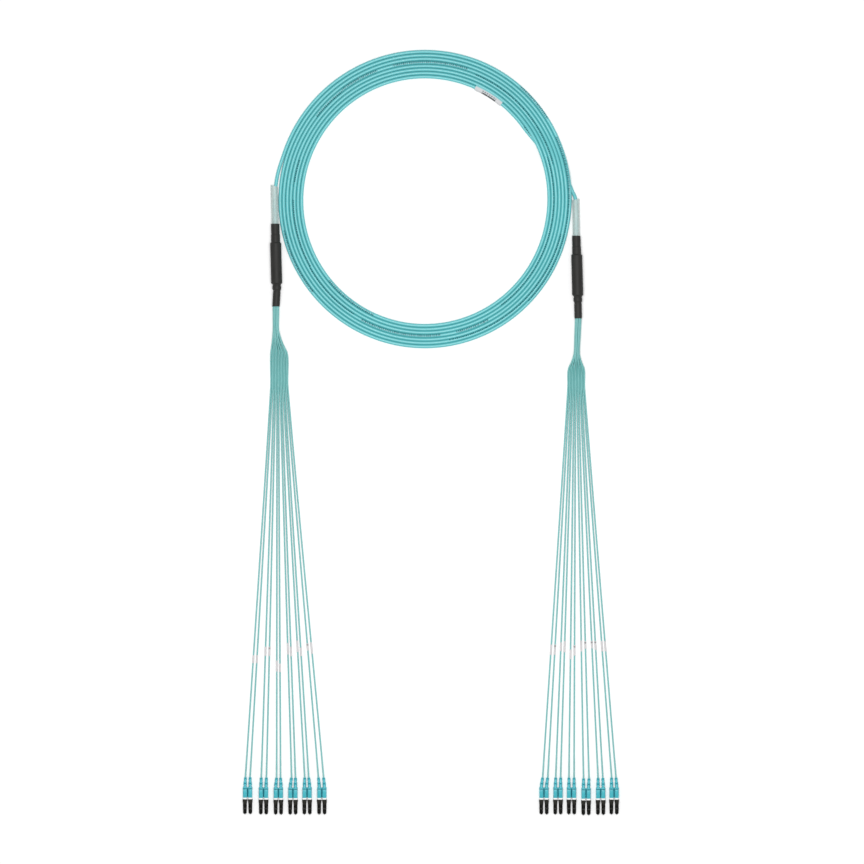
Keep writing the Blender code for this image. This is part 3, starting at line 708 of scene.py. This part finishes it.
def trunk_route():
    crossing = under_crossing()
    points = run_points("left") + coil_passes() + crossing
    points += [polar(RUN_RADIUS, RIGHT_RUN_START_ANGLE)] + run_points("right")[::-1]
    route = smooth_route(points, TRUNK_STEP, TRUNK_RADIUS)
    first_under = min(range(len(route)), key=lambda i: (route[i] - crossing[0]).length)
    ride_over(route[:first_under], route[first_under:])
    return route


def mark_print_and_shade(mesh, route):
    """Store on each point how squarely it faces the line of ticks, or -1 where there are none."""
    line, far = measured(route)
    count = len(mesh.vertices)
    spots, along = np.empty(count * 3), np.empty(count)
    mesh.vertices.foreach_get("co", spots)
    mesh.attributes["along"].data.foreach_get("value", along)
    spots = spots.reshape(-1, 3)
    near = np.clip(np.searchsorted(far, along - FINE_STEP), 0, len(far) - 1)
    middle = np.array(CENTRE[:2])
    outward_by = np.hypot(*(spots[:, :2] - middle).T) - np.hypot(*(line[near, :2] - middle).T)
    up = spots[:, 2] - line[near, 2]
    bearing = np.degrees(np.unwrap(np.arctan2(*(line[:, 1::-1] - middle[::-1]).T)))
    turned = (bearing - 360 * round((bearing[0] - FIRST_BEARING) / 360))[near]
    facing = np.full(count, -1.0)
    for turn, high, low, tilt in PRINT_AND_SHADE:
        inside = (turned <= high - 360 * turn) & (turned >= low - 360 * turn)
        angle = math.radians(tilt)
        seen = (outward_by * math.sin(angle) + up * math.cos(angle)) / TRUNK_RADIUS
        facing[inside] = seen[inside]
    store(mesh, "print", facing)


def make_trunk(tree, finish):
    route = trunk_route()
    mesh = swept(tree, "trunk_cable", route, Radius=TRUNK_RADIUS, Sides=TRUNK_SIDES, Finish=finish)
    mark_print_and_shade(mesh, route)
    item = piece("trunk_cable", mesh, finish,
                 stands_for=("trunk_coil", "trunk_run_left", "trunk_run_right"))
    return route


def bundle_slots():
    """Place each leg in the stacked bundle, as (x, z) from its middle, sorted from -X to +X."""
    spacing = BUNDLE_PITCH * math.sin(math.radians(60))
    slots = []
    for row, count in enumerate(BUNDLE_ROWS):
        z = (row - (len(BUNDLE_ROWS) - 1) / 2) * spacing
        slots += [((k - (count - 1) / 2) * BUNDLE_PITCH, z) for k in range(count)]
    return sorted(slots)


def leg_route(side, number, slot, ribbon_x, start, boot):
    """One leg: bundled at the furcation, spread, laid flat, fanned out and up into its boot."""
    bundle_x, bundle_z = start.x + slot[0], start.z + slot[1]
    pinched_x = start.x + slot[0] * BUNDLE_PINCH + BUNDLE_LEANS[side]
    flat_x = start.x + ribbon_x
    spread = start.y - BUNDLE_LENGTHS[side]
    flat = spread - SPREAD_LENGTHS[side]
    middle = (spread + flat) / 2 - SPREAD_STAGGER[number] * MM
    fan = start.y - FAN_STARTS[side]
    floor = LEG_RADIUS
    before, after = (flat + share * (spread - flat) for share in (0.22, -0.22))
    stages = ((start.y + END_INSIDE, bundle_x, 0.0, 0.0), (start.y, bundle_x, 0.0, 0.0),
              ((start.y + spread) / 2, (bundle_x + pinched_x) / 2, 0.0, 0.01),
              (spread, pinched_x, 0.03, 0.05), (middle, pinched_x, 0.48, 0.26),
              (before, pinched_x, 0.87, 0.5), (flat, pinched_x, 0.985, 0.66),
              (after, pinched_x, 1.0, 0.8), (fan, pinched_x, 1.0, 1.0))
    points = [Vector((x + (flat_x - x) * across, y, bundle_z + (floor - bundle_z) * down))
              for y, x, across, down in stages]
    rise = boot.y + LEG_RISE_LENGTH
    share = (fan - rise) / (fan - boot.y)
    points += [Vector((flat_x + (boot.x - flat_x) * share, rise, floor)),
               Vector((boot.x + (flat_x - boot.x) * (1 - share) * LEG_RISE_BEND,
                       boot.y + LEG_RISE_LENGTH * LEG_RISE_BEND,
                       floor + (boot.z - floor) * LEG_RISE_SHARE)),
               boot, boot - Vector((0.0, END_INSIDE, 0.0))]
    return smooth_route(points, LEG_STEP, floor)


def connector_place(side, number):
    """The front middle of a duplex connector, read from its node."""
    low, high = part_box(f"connector_{side}_{number}")
    return Vector(((low.x + high.x) / 2, low.y + NOSE_LENGTH + FERRULE_LENGTH, AXIS_HEIGHT))


def on_route(route, y):
    """The point where a leg's route passes a place along Y."""
    for before, after in zip(route, route[1:]):
        if (before.y - y) * (after.y - y) <= 0 and before.y != after.y:
            return before.lerp(after, (y - before.y) / (after.y - before.y))
    return route[-1].copy()


def make_tag(tree, finish, name, route, low, length):
    points = [on_route(route, low + length * (1 - k / TAG_STEPS)) for k in range(TAG_STEPS + 1)]
    mesh = swept(tree, name, points, Radius=TAG_DIAMETER / 2, Sides=TAG_SIDES, Finish=finish)
    for vertex in mesh.vertices:
        vertex.co.z = max(vertex.co.z, 0.0)
    return piece(name, mesh, finish)


def loft(shape, rings, closed=False):
    """Skin a row of rings that all have the same number of points; gives the new faces."""
    loops = [[shape.verts.new(point) for point in ring] for ring in rings]
    count = len(loops[0])
    pairs = list(zip(loops, loops[1:]))
    if closed:
        pairs.append((loops[-1], loops[0]))
    faces = []
    for before, after in pairs:
        for i in range(count):
            j = (i + 1) % count
            faces.append(shape.faces.new((before[i], before[j], after[j], after[i])))
    return faces if closed else faces + [shape.faces.new(loops[0]), shape.faces.new(loops[-1])]


def finished(shape, name, angle=35.0):
    """Turn a bmesh into a mesh with smooth sides and sharp edges."""
    bmesh.ops.recalc_face_normals(shape, faces=shape.faces)
    mesh = bpy.data.meshes.new(name)
    shape.to_mesh(mesh)
    shape.free()
    mesh.shade_smooth()
    mesh.set_sharp_from_angle(angle=math.radians(angle))
    return mesh


def lofted(rings, name, angle=35.0, closed=False):
    """A mesh that is one loft."""
    shape = bmesh.new()
    loft(shape, rings, closed)
    return finished(shape, name, angle)


def soft_square(y, half_width, half_height, corner, x=0.0):
    """A ring across Y: a rectangle with round corners, or a circle where the corner is half its size."""
    points = []
    for quarter, (sign_x, sign_z) in enumerate(((1, 1), (-1, 1), (-1, -1), (1, -1))):
        for k in range(CORNER_STEPS + 1):
            angle = math.radians(90 * quarter + 90 * k / CORNER_STEPS)
            points.append(Vector((x + sign_x * (half_width - corner) + corner * math.cos(angle), y,
                                  sign_z * (half_height - corner) + corner * math.sin(angle))))
    return points


def add_block(shape, low, high, bevel):
    """Add a box with its edges rounded."""
    made = bmesh.ops.create_cube(shape, size=1.0)["verts"]
    for vertex in made:
        for axis in range(3):
            vertex.co[axis] = high[axis] if vertex.co[axis] > 0 else low[axis]
    edges = {edge for vertex in made for edge in vertex.link_edges}
    bmesh.ops.bevel(shape, geom=list(edges), offset=bevel, segments=3, profile=0.5, affect="EDGES")


def add_outline(shape, outline, half_width, bevel):
    """Add a body of (y, z) points extruded across X, with its edges rounded."""
    faces = loft(shape, [[Vector((x, y, z)) for y, z in outline] for x in (-half_width, half_width)])
    bmesh.ops.recalc_face_normals(shape, faces=faces)
    edges = {edge for face in faces for edge in face.edges}
    bmesh.ops.bevel(shape, geom=list(edges), offset=bevel, segments=2, profile=0.5, affect="EDGES")


def housing_mesh():
    """One port's housing: rounded body with a shallow side groove, and the sprung latch lever."""
    half_w, half_h = HOUSING_WIDTH / 2, HOUSING_HEIGHT / 2
    shape = bmesh.new()
    stations = ((-0.4, 0.35), (-0.28, 0.12), (-0.05, 0.0), (8.2, 0.0), (8.35, 0.14), (8.75, 0.14),
                (8.9, 0.0), (9.95, 0.0), (10.1, 0.4), (10.75, 0.4), (10.9, 0.0), (11.25, 0.0),
                (11.5, 0.12), (11.6, 0.35))
    loft(shape, [soft_square(y * MM, half_w - inset * MM, half_h - inset * MM, 0.45 * MM)
                 for y, inset in stations])
    half = LATCH_THICKNESS / 2
    root, tip = half_h - 0.1 * MM, half_h + LATCH_RISE
    end = LATCH_ROOT + LATCH_LENGTH
    upper, lower = [], []
    for k in range(9):
        t = k / 8
        y = LATCH_ROOT + (end - LATCH_ROOT) * t
        middle = root + (tip - root) * (t + 0.10 * math.sin(math.pi * t))
        thick = half * (1.0 if k < 8 else 0.55)
        upper.append((y, middle + thick))
        lower.append((y, middle - thick))
    add_outline(shape, lower + upper[::-1], LATCH_WIDTH / 2, 0.14 * MM)
    ear = 2.3 * MM
    add_block(shape, (-ear, 2.6 * MM, half_h - 0.3 * MM), (ear, 3.9 * MM, half_h + 1.15 * MM), 0.15 * MM)
    for k in range(3):
        y = end - (0.9 + 0.8 * k) * MM
        z = root + (tip - root) * ((y - LATCH_ROOT) / (end - LATCH_ROOT) + 0.04) + half
        add_block(shape, (-1.3 * MM, y - 0.16 * MM, z - 0.2 * MM), (1.3 * MM, y + 0.16 * MM, z + 0.16 * MM),
                  0.06 * MM)
    mesh = finished(shape, "housing")
    # painted shade: the groove ring from 10.0 to 10.8 mm back is darkened as if in shadow
    store(mesh, "painted_shade", [10.0 * MM < vertex.co.y < 10.8 * MM for vertex in mesh.vertices])
    return mesh


def nose_mesh():
    """White plug body in front of a housing, with a round well for the ferrule."""
    half = NOSE_WIDTH / 2
    stations = ((0.6, 0.0), (-3.9, 0.0), (-4.25, 0.10), (-4.4, 0.32))
    rings = [soft_square(y * MM, half - inset * MM, half - inset * MM, 0.5 * MM) for y, inset in stations]
    for y, radius in ((-4.4, 1.45), (-4.3, 1.3), (-2.6, 1.25), (-2.6, 0.5)):
        rings.append(soft_square(y * MM, radius * MM, radius * MM, radius * MM))
    return lofted(rings, "nose")


def ferrule_mesh():
    radius = FERRULE_DIAMETER / 2
    tip = -NOSE_LENGTH - FERRULE_LENGTH
    stations = ((-2.3 * MM, radius), (tip + 0.35 * MM, radius), (tip + 0.1 * MM, radius * 0.86),
                (tip, radius * 0.62))
    return lofted([soft_square(y, r, r, r) for y, r in stations], "ferrule")


def clip_mesh():
    """Clip that holds a pair of housings side by side, with a spine in the gap between them; spine and
    middle bar carry painted shade.
    """
    shape = bmesh.new()
    side = PORT_PITCH / 2 + HOUSING_WIDTH / 2 + CLIP_PROUD
    reach = HOUSING_HEIGHT / 2 + CLIP_PROUD
    bottom = -HOUSING_HEIGHT / 2 + 2 * CLIP_PROUD
    gap = (PORT_PITCH - HOUSING_WIDTH) / 2 + 0.05 * MM
    add_block(shape, (-gap, 0.4 * MM, -1.9 * MM), (gap, CLIP_FRONT + 1.2 * MM, 0.4 * MM), 0.15 * MM)
    add_block(shape, (-2.3 * MM, CLIP_FRONT + 0.35 * MM, 0.0),
              (2.3 * MM, CLIP_FRONT + 1.2 * MM, reach - 0.7 * MM), 0.1 * MM)
    shape.verts.ensure_lookup_table()
    # painted shade: the spine in the gap and the small bar across the middle, made before this count, are
    # darkened
    shaded_count = len(shape.verts)
    add_block(shape, (-side, CLIP_FRONT, bottom), (side, CLIP_BACK, reach - 1.3 * MM), 0.2 * MM)
    add_block(shape, (-side + 0.03 * MM, CLIP_FRONT + 1.1 * MM, 0.0),
              (side - 0.03 * MM, CLIP_BACK - 0.03 * MM, reach), 0.25 * MM)
    for sign in (-1, 1):
        low, high = sorted((sign * 2.6 * MM, sign * (side - 0.06 * MM)))
        add_block(shape, (low, CLIP_FRONT + 0.7 * MM, 0.0), (high, CLIP_BACK - 0.3 * MM, reach - 0.05 * MM),
                  0.25 * MM)
    mesh = finished(shape, "clip")
    store(mesh, "painted_shade", [i < shaded_count for i in range(len(mesh.vertices))])
    return mesh


def cap_rings(x):
    """Rings of one hollow cap from its blind inside, out at the mouth, and back over the outside.

    A station is (y, half width, corner); without a corner it is round.
    """
    pocket = NOSE_WIDTH / 2 + CAP_CLEARANCE
    collar = pocket + CAP_WALL
    seat = -(NOSE_LENGTH + CAP_CLEARANCE)
    bore = FERRULE_DIAMETER / 2 + 0.3 * MM
    bore_end = -(NOSE_LENGTH + FERRULE_LENGTH + 1.5 * MM)
    tip = -(CAP_MOUTH + CAP_LENGTH)
    mouth = -CAP_MOUTH
    tube, end = CAP_TUBE / 2, CAP_TIP / 2
    flare = seat - CAP_WALL
    stations = [(bore_end, bore * 0.3), (bore_end, bore), (seat, bore),
                (seat, pocket, 0.55 * MM), (mouth - 0.1 * MM, pocket, 0.55 * MM),
                (mouth, pocket + 0.08 * MM, 0.6 * MM), (mouth, collar - 0.1 * MM, 0.9 * MM),
                (mouth - 0.12 * MM, collar, 1.0 * MM), (flare, collar, 1.1 * MM),
                (flare - 0.7 * MM, collar - 0.12 * MM, 1.5 * MM),
                (flare - 2.0 * MM, tube + 0.1 * MM, tube - 0.1 * MM), (flare - 2.8 * MM, tube)]
    for y, proud in ((-12.9, -0.06), (-13.1, 0.09), (-13.5, 0.09), (-13.7, -0.08)):
        stations.append((y * MM, tube + proud * MM))
    for before, share in ((2.2, 1.0), (1.7, 0.97), (1.25, 0.88), (0.9, 0.73), (0.65, 0.52), (0.5, 0.36),
                          (0.25, 0.28), (0.08, 0.23), (0.0, 0.16)):
        stations.append((tip + before * MM, end * share))
    return [soft_square(y, half, half, min([half, *corner]), x=x) for y, half, *corner in stations]


def caps_mesh():
    """A pair of caps joined low down by a thin strap at the mouth."""
    shape = bmesh.new()
    reach = PORT_PITCH / 2 + CAP_SPLAY
    for x in (-reach, reach):
        loft(shape, cap_rings(x))
    strap = reach - NOSE_WIDTH / 2 - CAP_CLEARANCE - 0.5 * CAP_WALL
    add_block(shape, (-strap, -4.0 * MM, -2.4 * MM), (strap, -CAP_MOUTH - 1.2 * MM, -1.6 * MM), 0.1 * MM)
    mesh = finished(shape, "caps")
    store(mesh, "along", [-CAP_MOUTH - vertex.co.y for vertex in mesh.vertices])
    return mesh


def make_boot(tree, finish, name, spot, bend):
    """A slotted boot behind one port, from inside the clip to where the leg enters, a little bent."""
    start = CLIP_BACK - BOOT_INSIDE
    length = CLIP_BACK + BOOT_LENGTH - start
    points = [spot + Vector((bend * (k / BOOT_STEPS) ** BOOT_CURL, start + length * k / BOOT_STEPS, 0.0))
              for k in range(BOOT_STEPS + 1)]
    mesh = swept(tree, name, points, Base_Radius=BOOT_BASE / 2, Tip_Radius=BOOT_TIP / 2,
                 First_Slot=BOOT_SLOTS[0], Slot_Pitch=BOOT_SLOTS[1], Slot_Width=BOOT_SLOT_WIDTH,
                 Slot_Depth=BOOT_SLOT_DEPTH, Finish=finish)
    return piece(name, mesh, finish)


def make_connector(side, number, parts, trees, finishes):
    """Build one duplex connector and its caps; gives the pieces that go with each of its two legs."""
    spot = connector_place(side, number)
    node, caps = f"connector_{side}_{number}", f"dust_caps_{side}_{number}"
    clip = piece(f"{node}_clip", parts["clip"], finishes["connector"],
                 stands_for=(node,), spot=spot)
    groups = []
    for letter, across, bend in zip("ab", PORTS, BOOT_BENDS[side][number - 1]):
        port = spot + Vector((across, 0.0, 0.0))
        group = [make_boot(trees["boot"], finishes["connector"], f"{node}_{letter}_boot", port,
                           bend * MM)]
        for part, finish, slot in (("housing", "connector", "connector_plastic"),
                                   ("nose", "nose", "nose_plastic"),
                                   ("ferrule", "ferrule", "ferrule_ceramic")):
            group.append(piece(f"{node}_{letter}_{part}", parts[part], finishes[finish],
                               stands_for=(node,), spot=port))
        groups.append(group)
    groups[0].append(clip)
    piece(f"{caps}_rubber", parts["caps"], finishes["cap"], body=caps,
          stands_for=(caps,), spot=spot)
    return groups


def furcation_axis(side, along):
    """The middle of a furcation at a distance from its trunk end."""
    lean, back = FURCATION_LEANS[side], FURCATION_RETURNS[side]
    exit_start = FURCATION_LENGTH - FURCATION_EXIT[1]
    entry_share = max(0.0, 1 - along / FURCATION_ENTRY[1])
    exit_share = max(0.0, (along - exit_start) / FURCATION_EXIT[1])
    across = lean * along / FURCATION_LENGTH - back * exit_share
    height = FURCATION_AXIS_HEIGHT - FURCATION_DROOP * max(entry_share, exit_share)
    return from_centre(FURCATION_X[side] + across, -FURCATION_DROPS[side] - along, height)


def furcation_radius(along):
    """Radius of the shrunk tube: the sections in turn, with soft shoulders and creases between them."""
    radius, end, ends = FURCATION_ENTRY[0] / 2, 0.0, []
    for before, after in zip(FURCATION_SECTIONS, FURCATION_SECTIONS[1:]):
        end += before[1]
        ends.append(end)
        radius += (after[0] / 2 - radius) * eased((along - end) / FURCATION_SHOULDER + 1)
    for middle, depth in ((12.3 * MM, 0.2), (ends[1] + 0.9 * MM, 0.45), (ends[2] + 0.8 * MM, 0.3)):
        radius -= depth * MM * math.exp(-((along - middle) / CREASE_REACH) ** 2)
    return radius


def noise_round(angle, scale, along):
    """Noise that meets itself all the way round a tube."""
    return noise.noise(Vector((math.cos(angle) * scale, math.sin(angle) * scale, along)))


def furcation_mesh(side, seed):
    """Shrunk tube over a hard core: long creases, a ripple at the entry and thin open rims."""
    steps = round(FURCATION_LENGTH / FURCATION_STEP_LENGTH)
    rings = []
    for i in range(steps + 1):
        along = FURCATION_LENGTH * i / steps
        middle = furcation_axis(side, along)
        radius = furcation_radius(along)
        if along < FURCATION_ENTRY[1] - FURCATION_SHOULDER:
            radius += FURCATION_SWELL * min(max((along - 12.0 * MM) / (1.5 * MM), 0.0), 1.0)
        ring = []
        for k in range(FURCATION_SIDES):
            angle = 2 * math.pi * k / FURCATION_SIDES
            crease = 0.12 * MM * noise_round(angle, 2.2, along / MM * 0.035 + seed) - 0.01 * MM
            fine = 0.05 * MM * noise_round(angle, 5, along / MM * 0.35 + seed)
            reach = radius + min(crease + fine, 0.04 * MM)
            ring.append(Vector((middle.x + reach * math.cos(angle), middle.y,
                                max(middle.z + reach * math.sin(angle), 0.0))))
        rings.append(ring)
    for along, way in ((FURCATION_LENGTH, 1), (0.0, -1)):
        middle = furcation_axis(side, along)
        rim = [point - (point - middle).normalized() * FURCATION_WALL for point in rings[-1]]
        rings += [rim, [point + Vector((0.0, way * FURCATION_RECESS, 0.0)) for point in rim]]
        rings.reverse()
    return lofted(rings, f"furcation_{side}", 50.0)


def sleeve_mesh(side, seed):
    """Clear film tube round the cable, a little flattened, with long soft folds."""
    low = -FURCATION_DROPS[side] + 0.15 * MM
    x = FURCATION_X[side]
    lower_by, slant_by = SLEEVE_TOPS[side]
    outer, inner = [], []
    for i in range(SLEEVE_STEPS + 1):
        share = i / SLEEVE_STEPS
        middle_x = x - SLEEVE_LEANS[side] * share
        height = (FURCATION_END_HEIGHT - PIECE_GAP) * (1 - share) + SLEEVE_DIAMETER / 2 * share
        for rings, radius in ((outer, SLEEVE_DIAMETER / 2), (inner, SLEEVE_DIAMETER / 2 - SLEEVE_WALL)):
            ring = []
            for k in range(SLEEVE_SIDES):
                angle = 2 * math.pi * k / SLEEVE_SIDES
                reach = radius + 0.30 * MM * (noise_round(angle, 1.8, share * 1.6 + seed) - 0.30)
                slant = slant_by * math.cos(angle) * share ** 8
                ring.append(from_centre(middle_x + (reach + SLEEVE_SPREAD) * math.cos(angle),
                                        low + (SLEEVE_LENGTH + lower_by) * share - slant,
                                        max(height + reach * SLEEVE_FLATTEN * math.sin(angle),
                                            SLEEVE_DIAMETER / 2 - radius)))
            rings.append(ring)
    return lofted(outer + inner[::-1], f"label_sleeve_{side}", 60.0, closed=True)


def label_mesh(route):
    """White wrap that bends over the innermost turn and reaches the next one's shoulder."""
    section = LABEL_SECTION
    last = [point - CENTRE for point in route if (point - CENTRE).xy.length < INNERMOST_WITHIN]
    last = sorted((math.degrees(math.atan2(point.y, point.x)), point.xy.length) for point in last)
    rings = []
    start, end = LABEL_ANGLES
    for i in range(LABEL_STEPS + 1):
        degrees = start - (start - end) * i / LABEL_STEPS
        radius = float(np.interp(degrees, *zip(*last)))
        ring = [polar(radius + across * MM, degrees, up * MM) for across, up in section]
        under = []
        for k in range(len(section)):
            before, after = section[max(k - 1, 0)], section[min(k + 1, len(section) - 1)]
            tangent = Vector((after[0] - before[0], after[1] - before[1])).normalized()
            across, up = section[k]
            under.append(polar(radius + across * MM + tangent.y * LABEL_THICKNESS, degrees,
                               up * MM - tangent.x * LABEL_THICKNESS))
        rings.append(ring + under[::-1])
    mesh = lofted(rings, "cable_label", 50.0)
    size = 2 * len(section)
    points = range(len(mesh.vertices))
    store(mesh, "along", [(i // size) / LABEL_STEPS for i in points])
    store(mesh, "across", [min(i % size, size - 1 - i % size) / (len(section) - 1) for i in points])
    return mesh


def make_end(side, seed, parts, trees, finishes):
    """Furcation, film sleeve, legs, tags and connectors of one end."""
    piece(f"furcation_{side}_shrink", furcation_mesh(side, seed), finishes["shrink"],
          stands_for=(f"furcation_{side}",))
    piece(f"label_sleeve_{side}_film", sleeve_mesh(side, seed), finishes["film"],
          stands_for=(f"label_sleeve_{side}",))
    groups, boots = [], []
    for number in range(1, CONNECTORS_PER_END + 1):
        groups += make_connector(side, number, parts, trees, finishes)
        spot = connector_place(side, number)
        for across, bend in zip(PORTS, BOOT_BENDS[side][number - 1]):
            boots.append(spot + Vector((across + bend * MM, CLIP_BACK + BOOT_LENGTH + PIECE_GAP, 0.0)))
    start = furcation_axis(side, FURCATION_LENGTH) - Vector((0.0, PIECE_GAP, 0.0))
    legs = sum(BUNDLE_ROWS)
    for number, (slot, boot) in enumerate(zip(bundle_slots(), boots)):
        ribbon_x = RIBBON_SHIFTS[side] + (number - (legs - 1) / 2) * RIBBON_PITCHES[side]
        route = leg_route(side, number, slot, ribbon_x, start, boot)
        name = f"leg_{side}_{number + 1:02d}"
        mesh = swept(trees["jacket"], f"{name}_jacket", route, Radius=LEG_RADIUS, Sides=LEG_SIDES,
                     Finish=finishes["leg"])
        leg = piece(f"{name}_jacket", mesh, finishes["leg"], stands_for=(name,))
        from_face, length = TAGS[side][number]
        face = connector_place(side, number // 2 + 1).y
        kind = "marked_tag" if number + 1 in MARKED_TAGS[side] else "tag"
        tag = make_tag(trees["jacket"], finishes[kind], f"{name}_tag", route, face + from_face * MM,
                       length * MM)


def make_stage():
    """Plain pale floor."""
    mesh = bpy.data.meshes.new("floor")
    mesh.from_pydata([(-6, -6, 0), (6, -6, 0), (6, 6, 0), (-6, 6, 0)], [], [(0, 1, 2, 3)])
    mesh.materials.append(floor_finish())
    floor = new_object("floor", mesh)


def make_light():
    """White room and one large softbox above."""
    world = bpy.data.worlds.new("studio")
    world.use_nodes = True
    background = world.node_tree.nodes["Background"].inputs
    background["Color"].default_value = (1.0, 1.0, 1.0, 1.0)
    background["Strength"].default_value = ROOM_STRENGTH
    bpy.context.scene.world = world
    data = bpy.data.lights.new("softbox", "AREA")
    data.shape = "SQUARE"
    data.size = SOFTBOX_SIZE
    data.energy = SOFTBOX_POWER
    new_object("softbox", data).location = (0.0, 0.0, SOFTBOX_HEIGHT)
    bpy.context.scene.view_settings.view_transform = "Standard"


def make_camera():
    data = bpy.data.cameras.new("camera")
    data.lens = LENS
    data.sensor_width = SENSOR
    data.clip_end = 50.0
    camera = new_object("camera", data)
    camera.location = (*VIEW_MIDDLE, VIEW_HEIGHT + VIEW_WIDTH * LENS / SENSOR)
    bpy.context.scene.camera = camera


def main():
    make_camera()
    trees = {"jacket": jacket_tree(), "boot": boot_tree()}
    finishes = {"trunk": jacket_finish("aqua_trunk", AQUA_TRUNK, True),
                "leg": jacket_finish("aqua_leg", AQUA_LEG, False),
                "connector": connector_finish(), "nose": white_plastic_finish(),
                "ferrule": ceramic_finish(), "cap": cap_finish(), "shrink": shrink_finish(),
                "film": film_finish(), "tag": tag_finish("white_tag", False),
                "marked_tag": tag_finish("marked_tag", True), "label": label_finish()}
    route = make_trunk(trees["jacket"], finishes["trunk"])
    parts = {"housing": housing_mesh(), "nose": nose_mesh(), "ferrule": ferrule_mesh(),
             "clip": clip_mesh(), "caps": caps_mesh()}
    for seed, side in enumerate(SIDES):
        make_end(side, 3.7 * seed, parts, trees, finishes)
    piece("cable_label_wrap", label_mesh(route), finishes["label"],
          stands_for=("cable_label",))
    make_stage()
    make_light()


main()
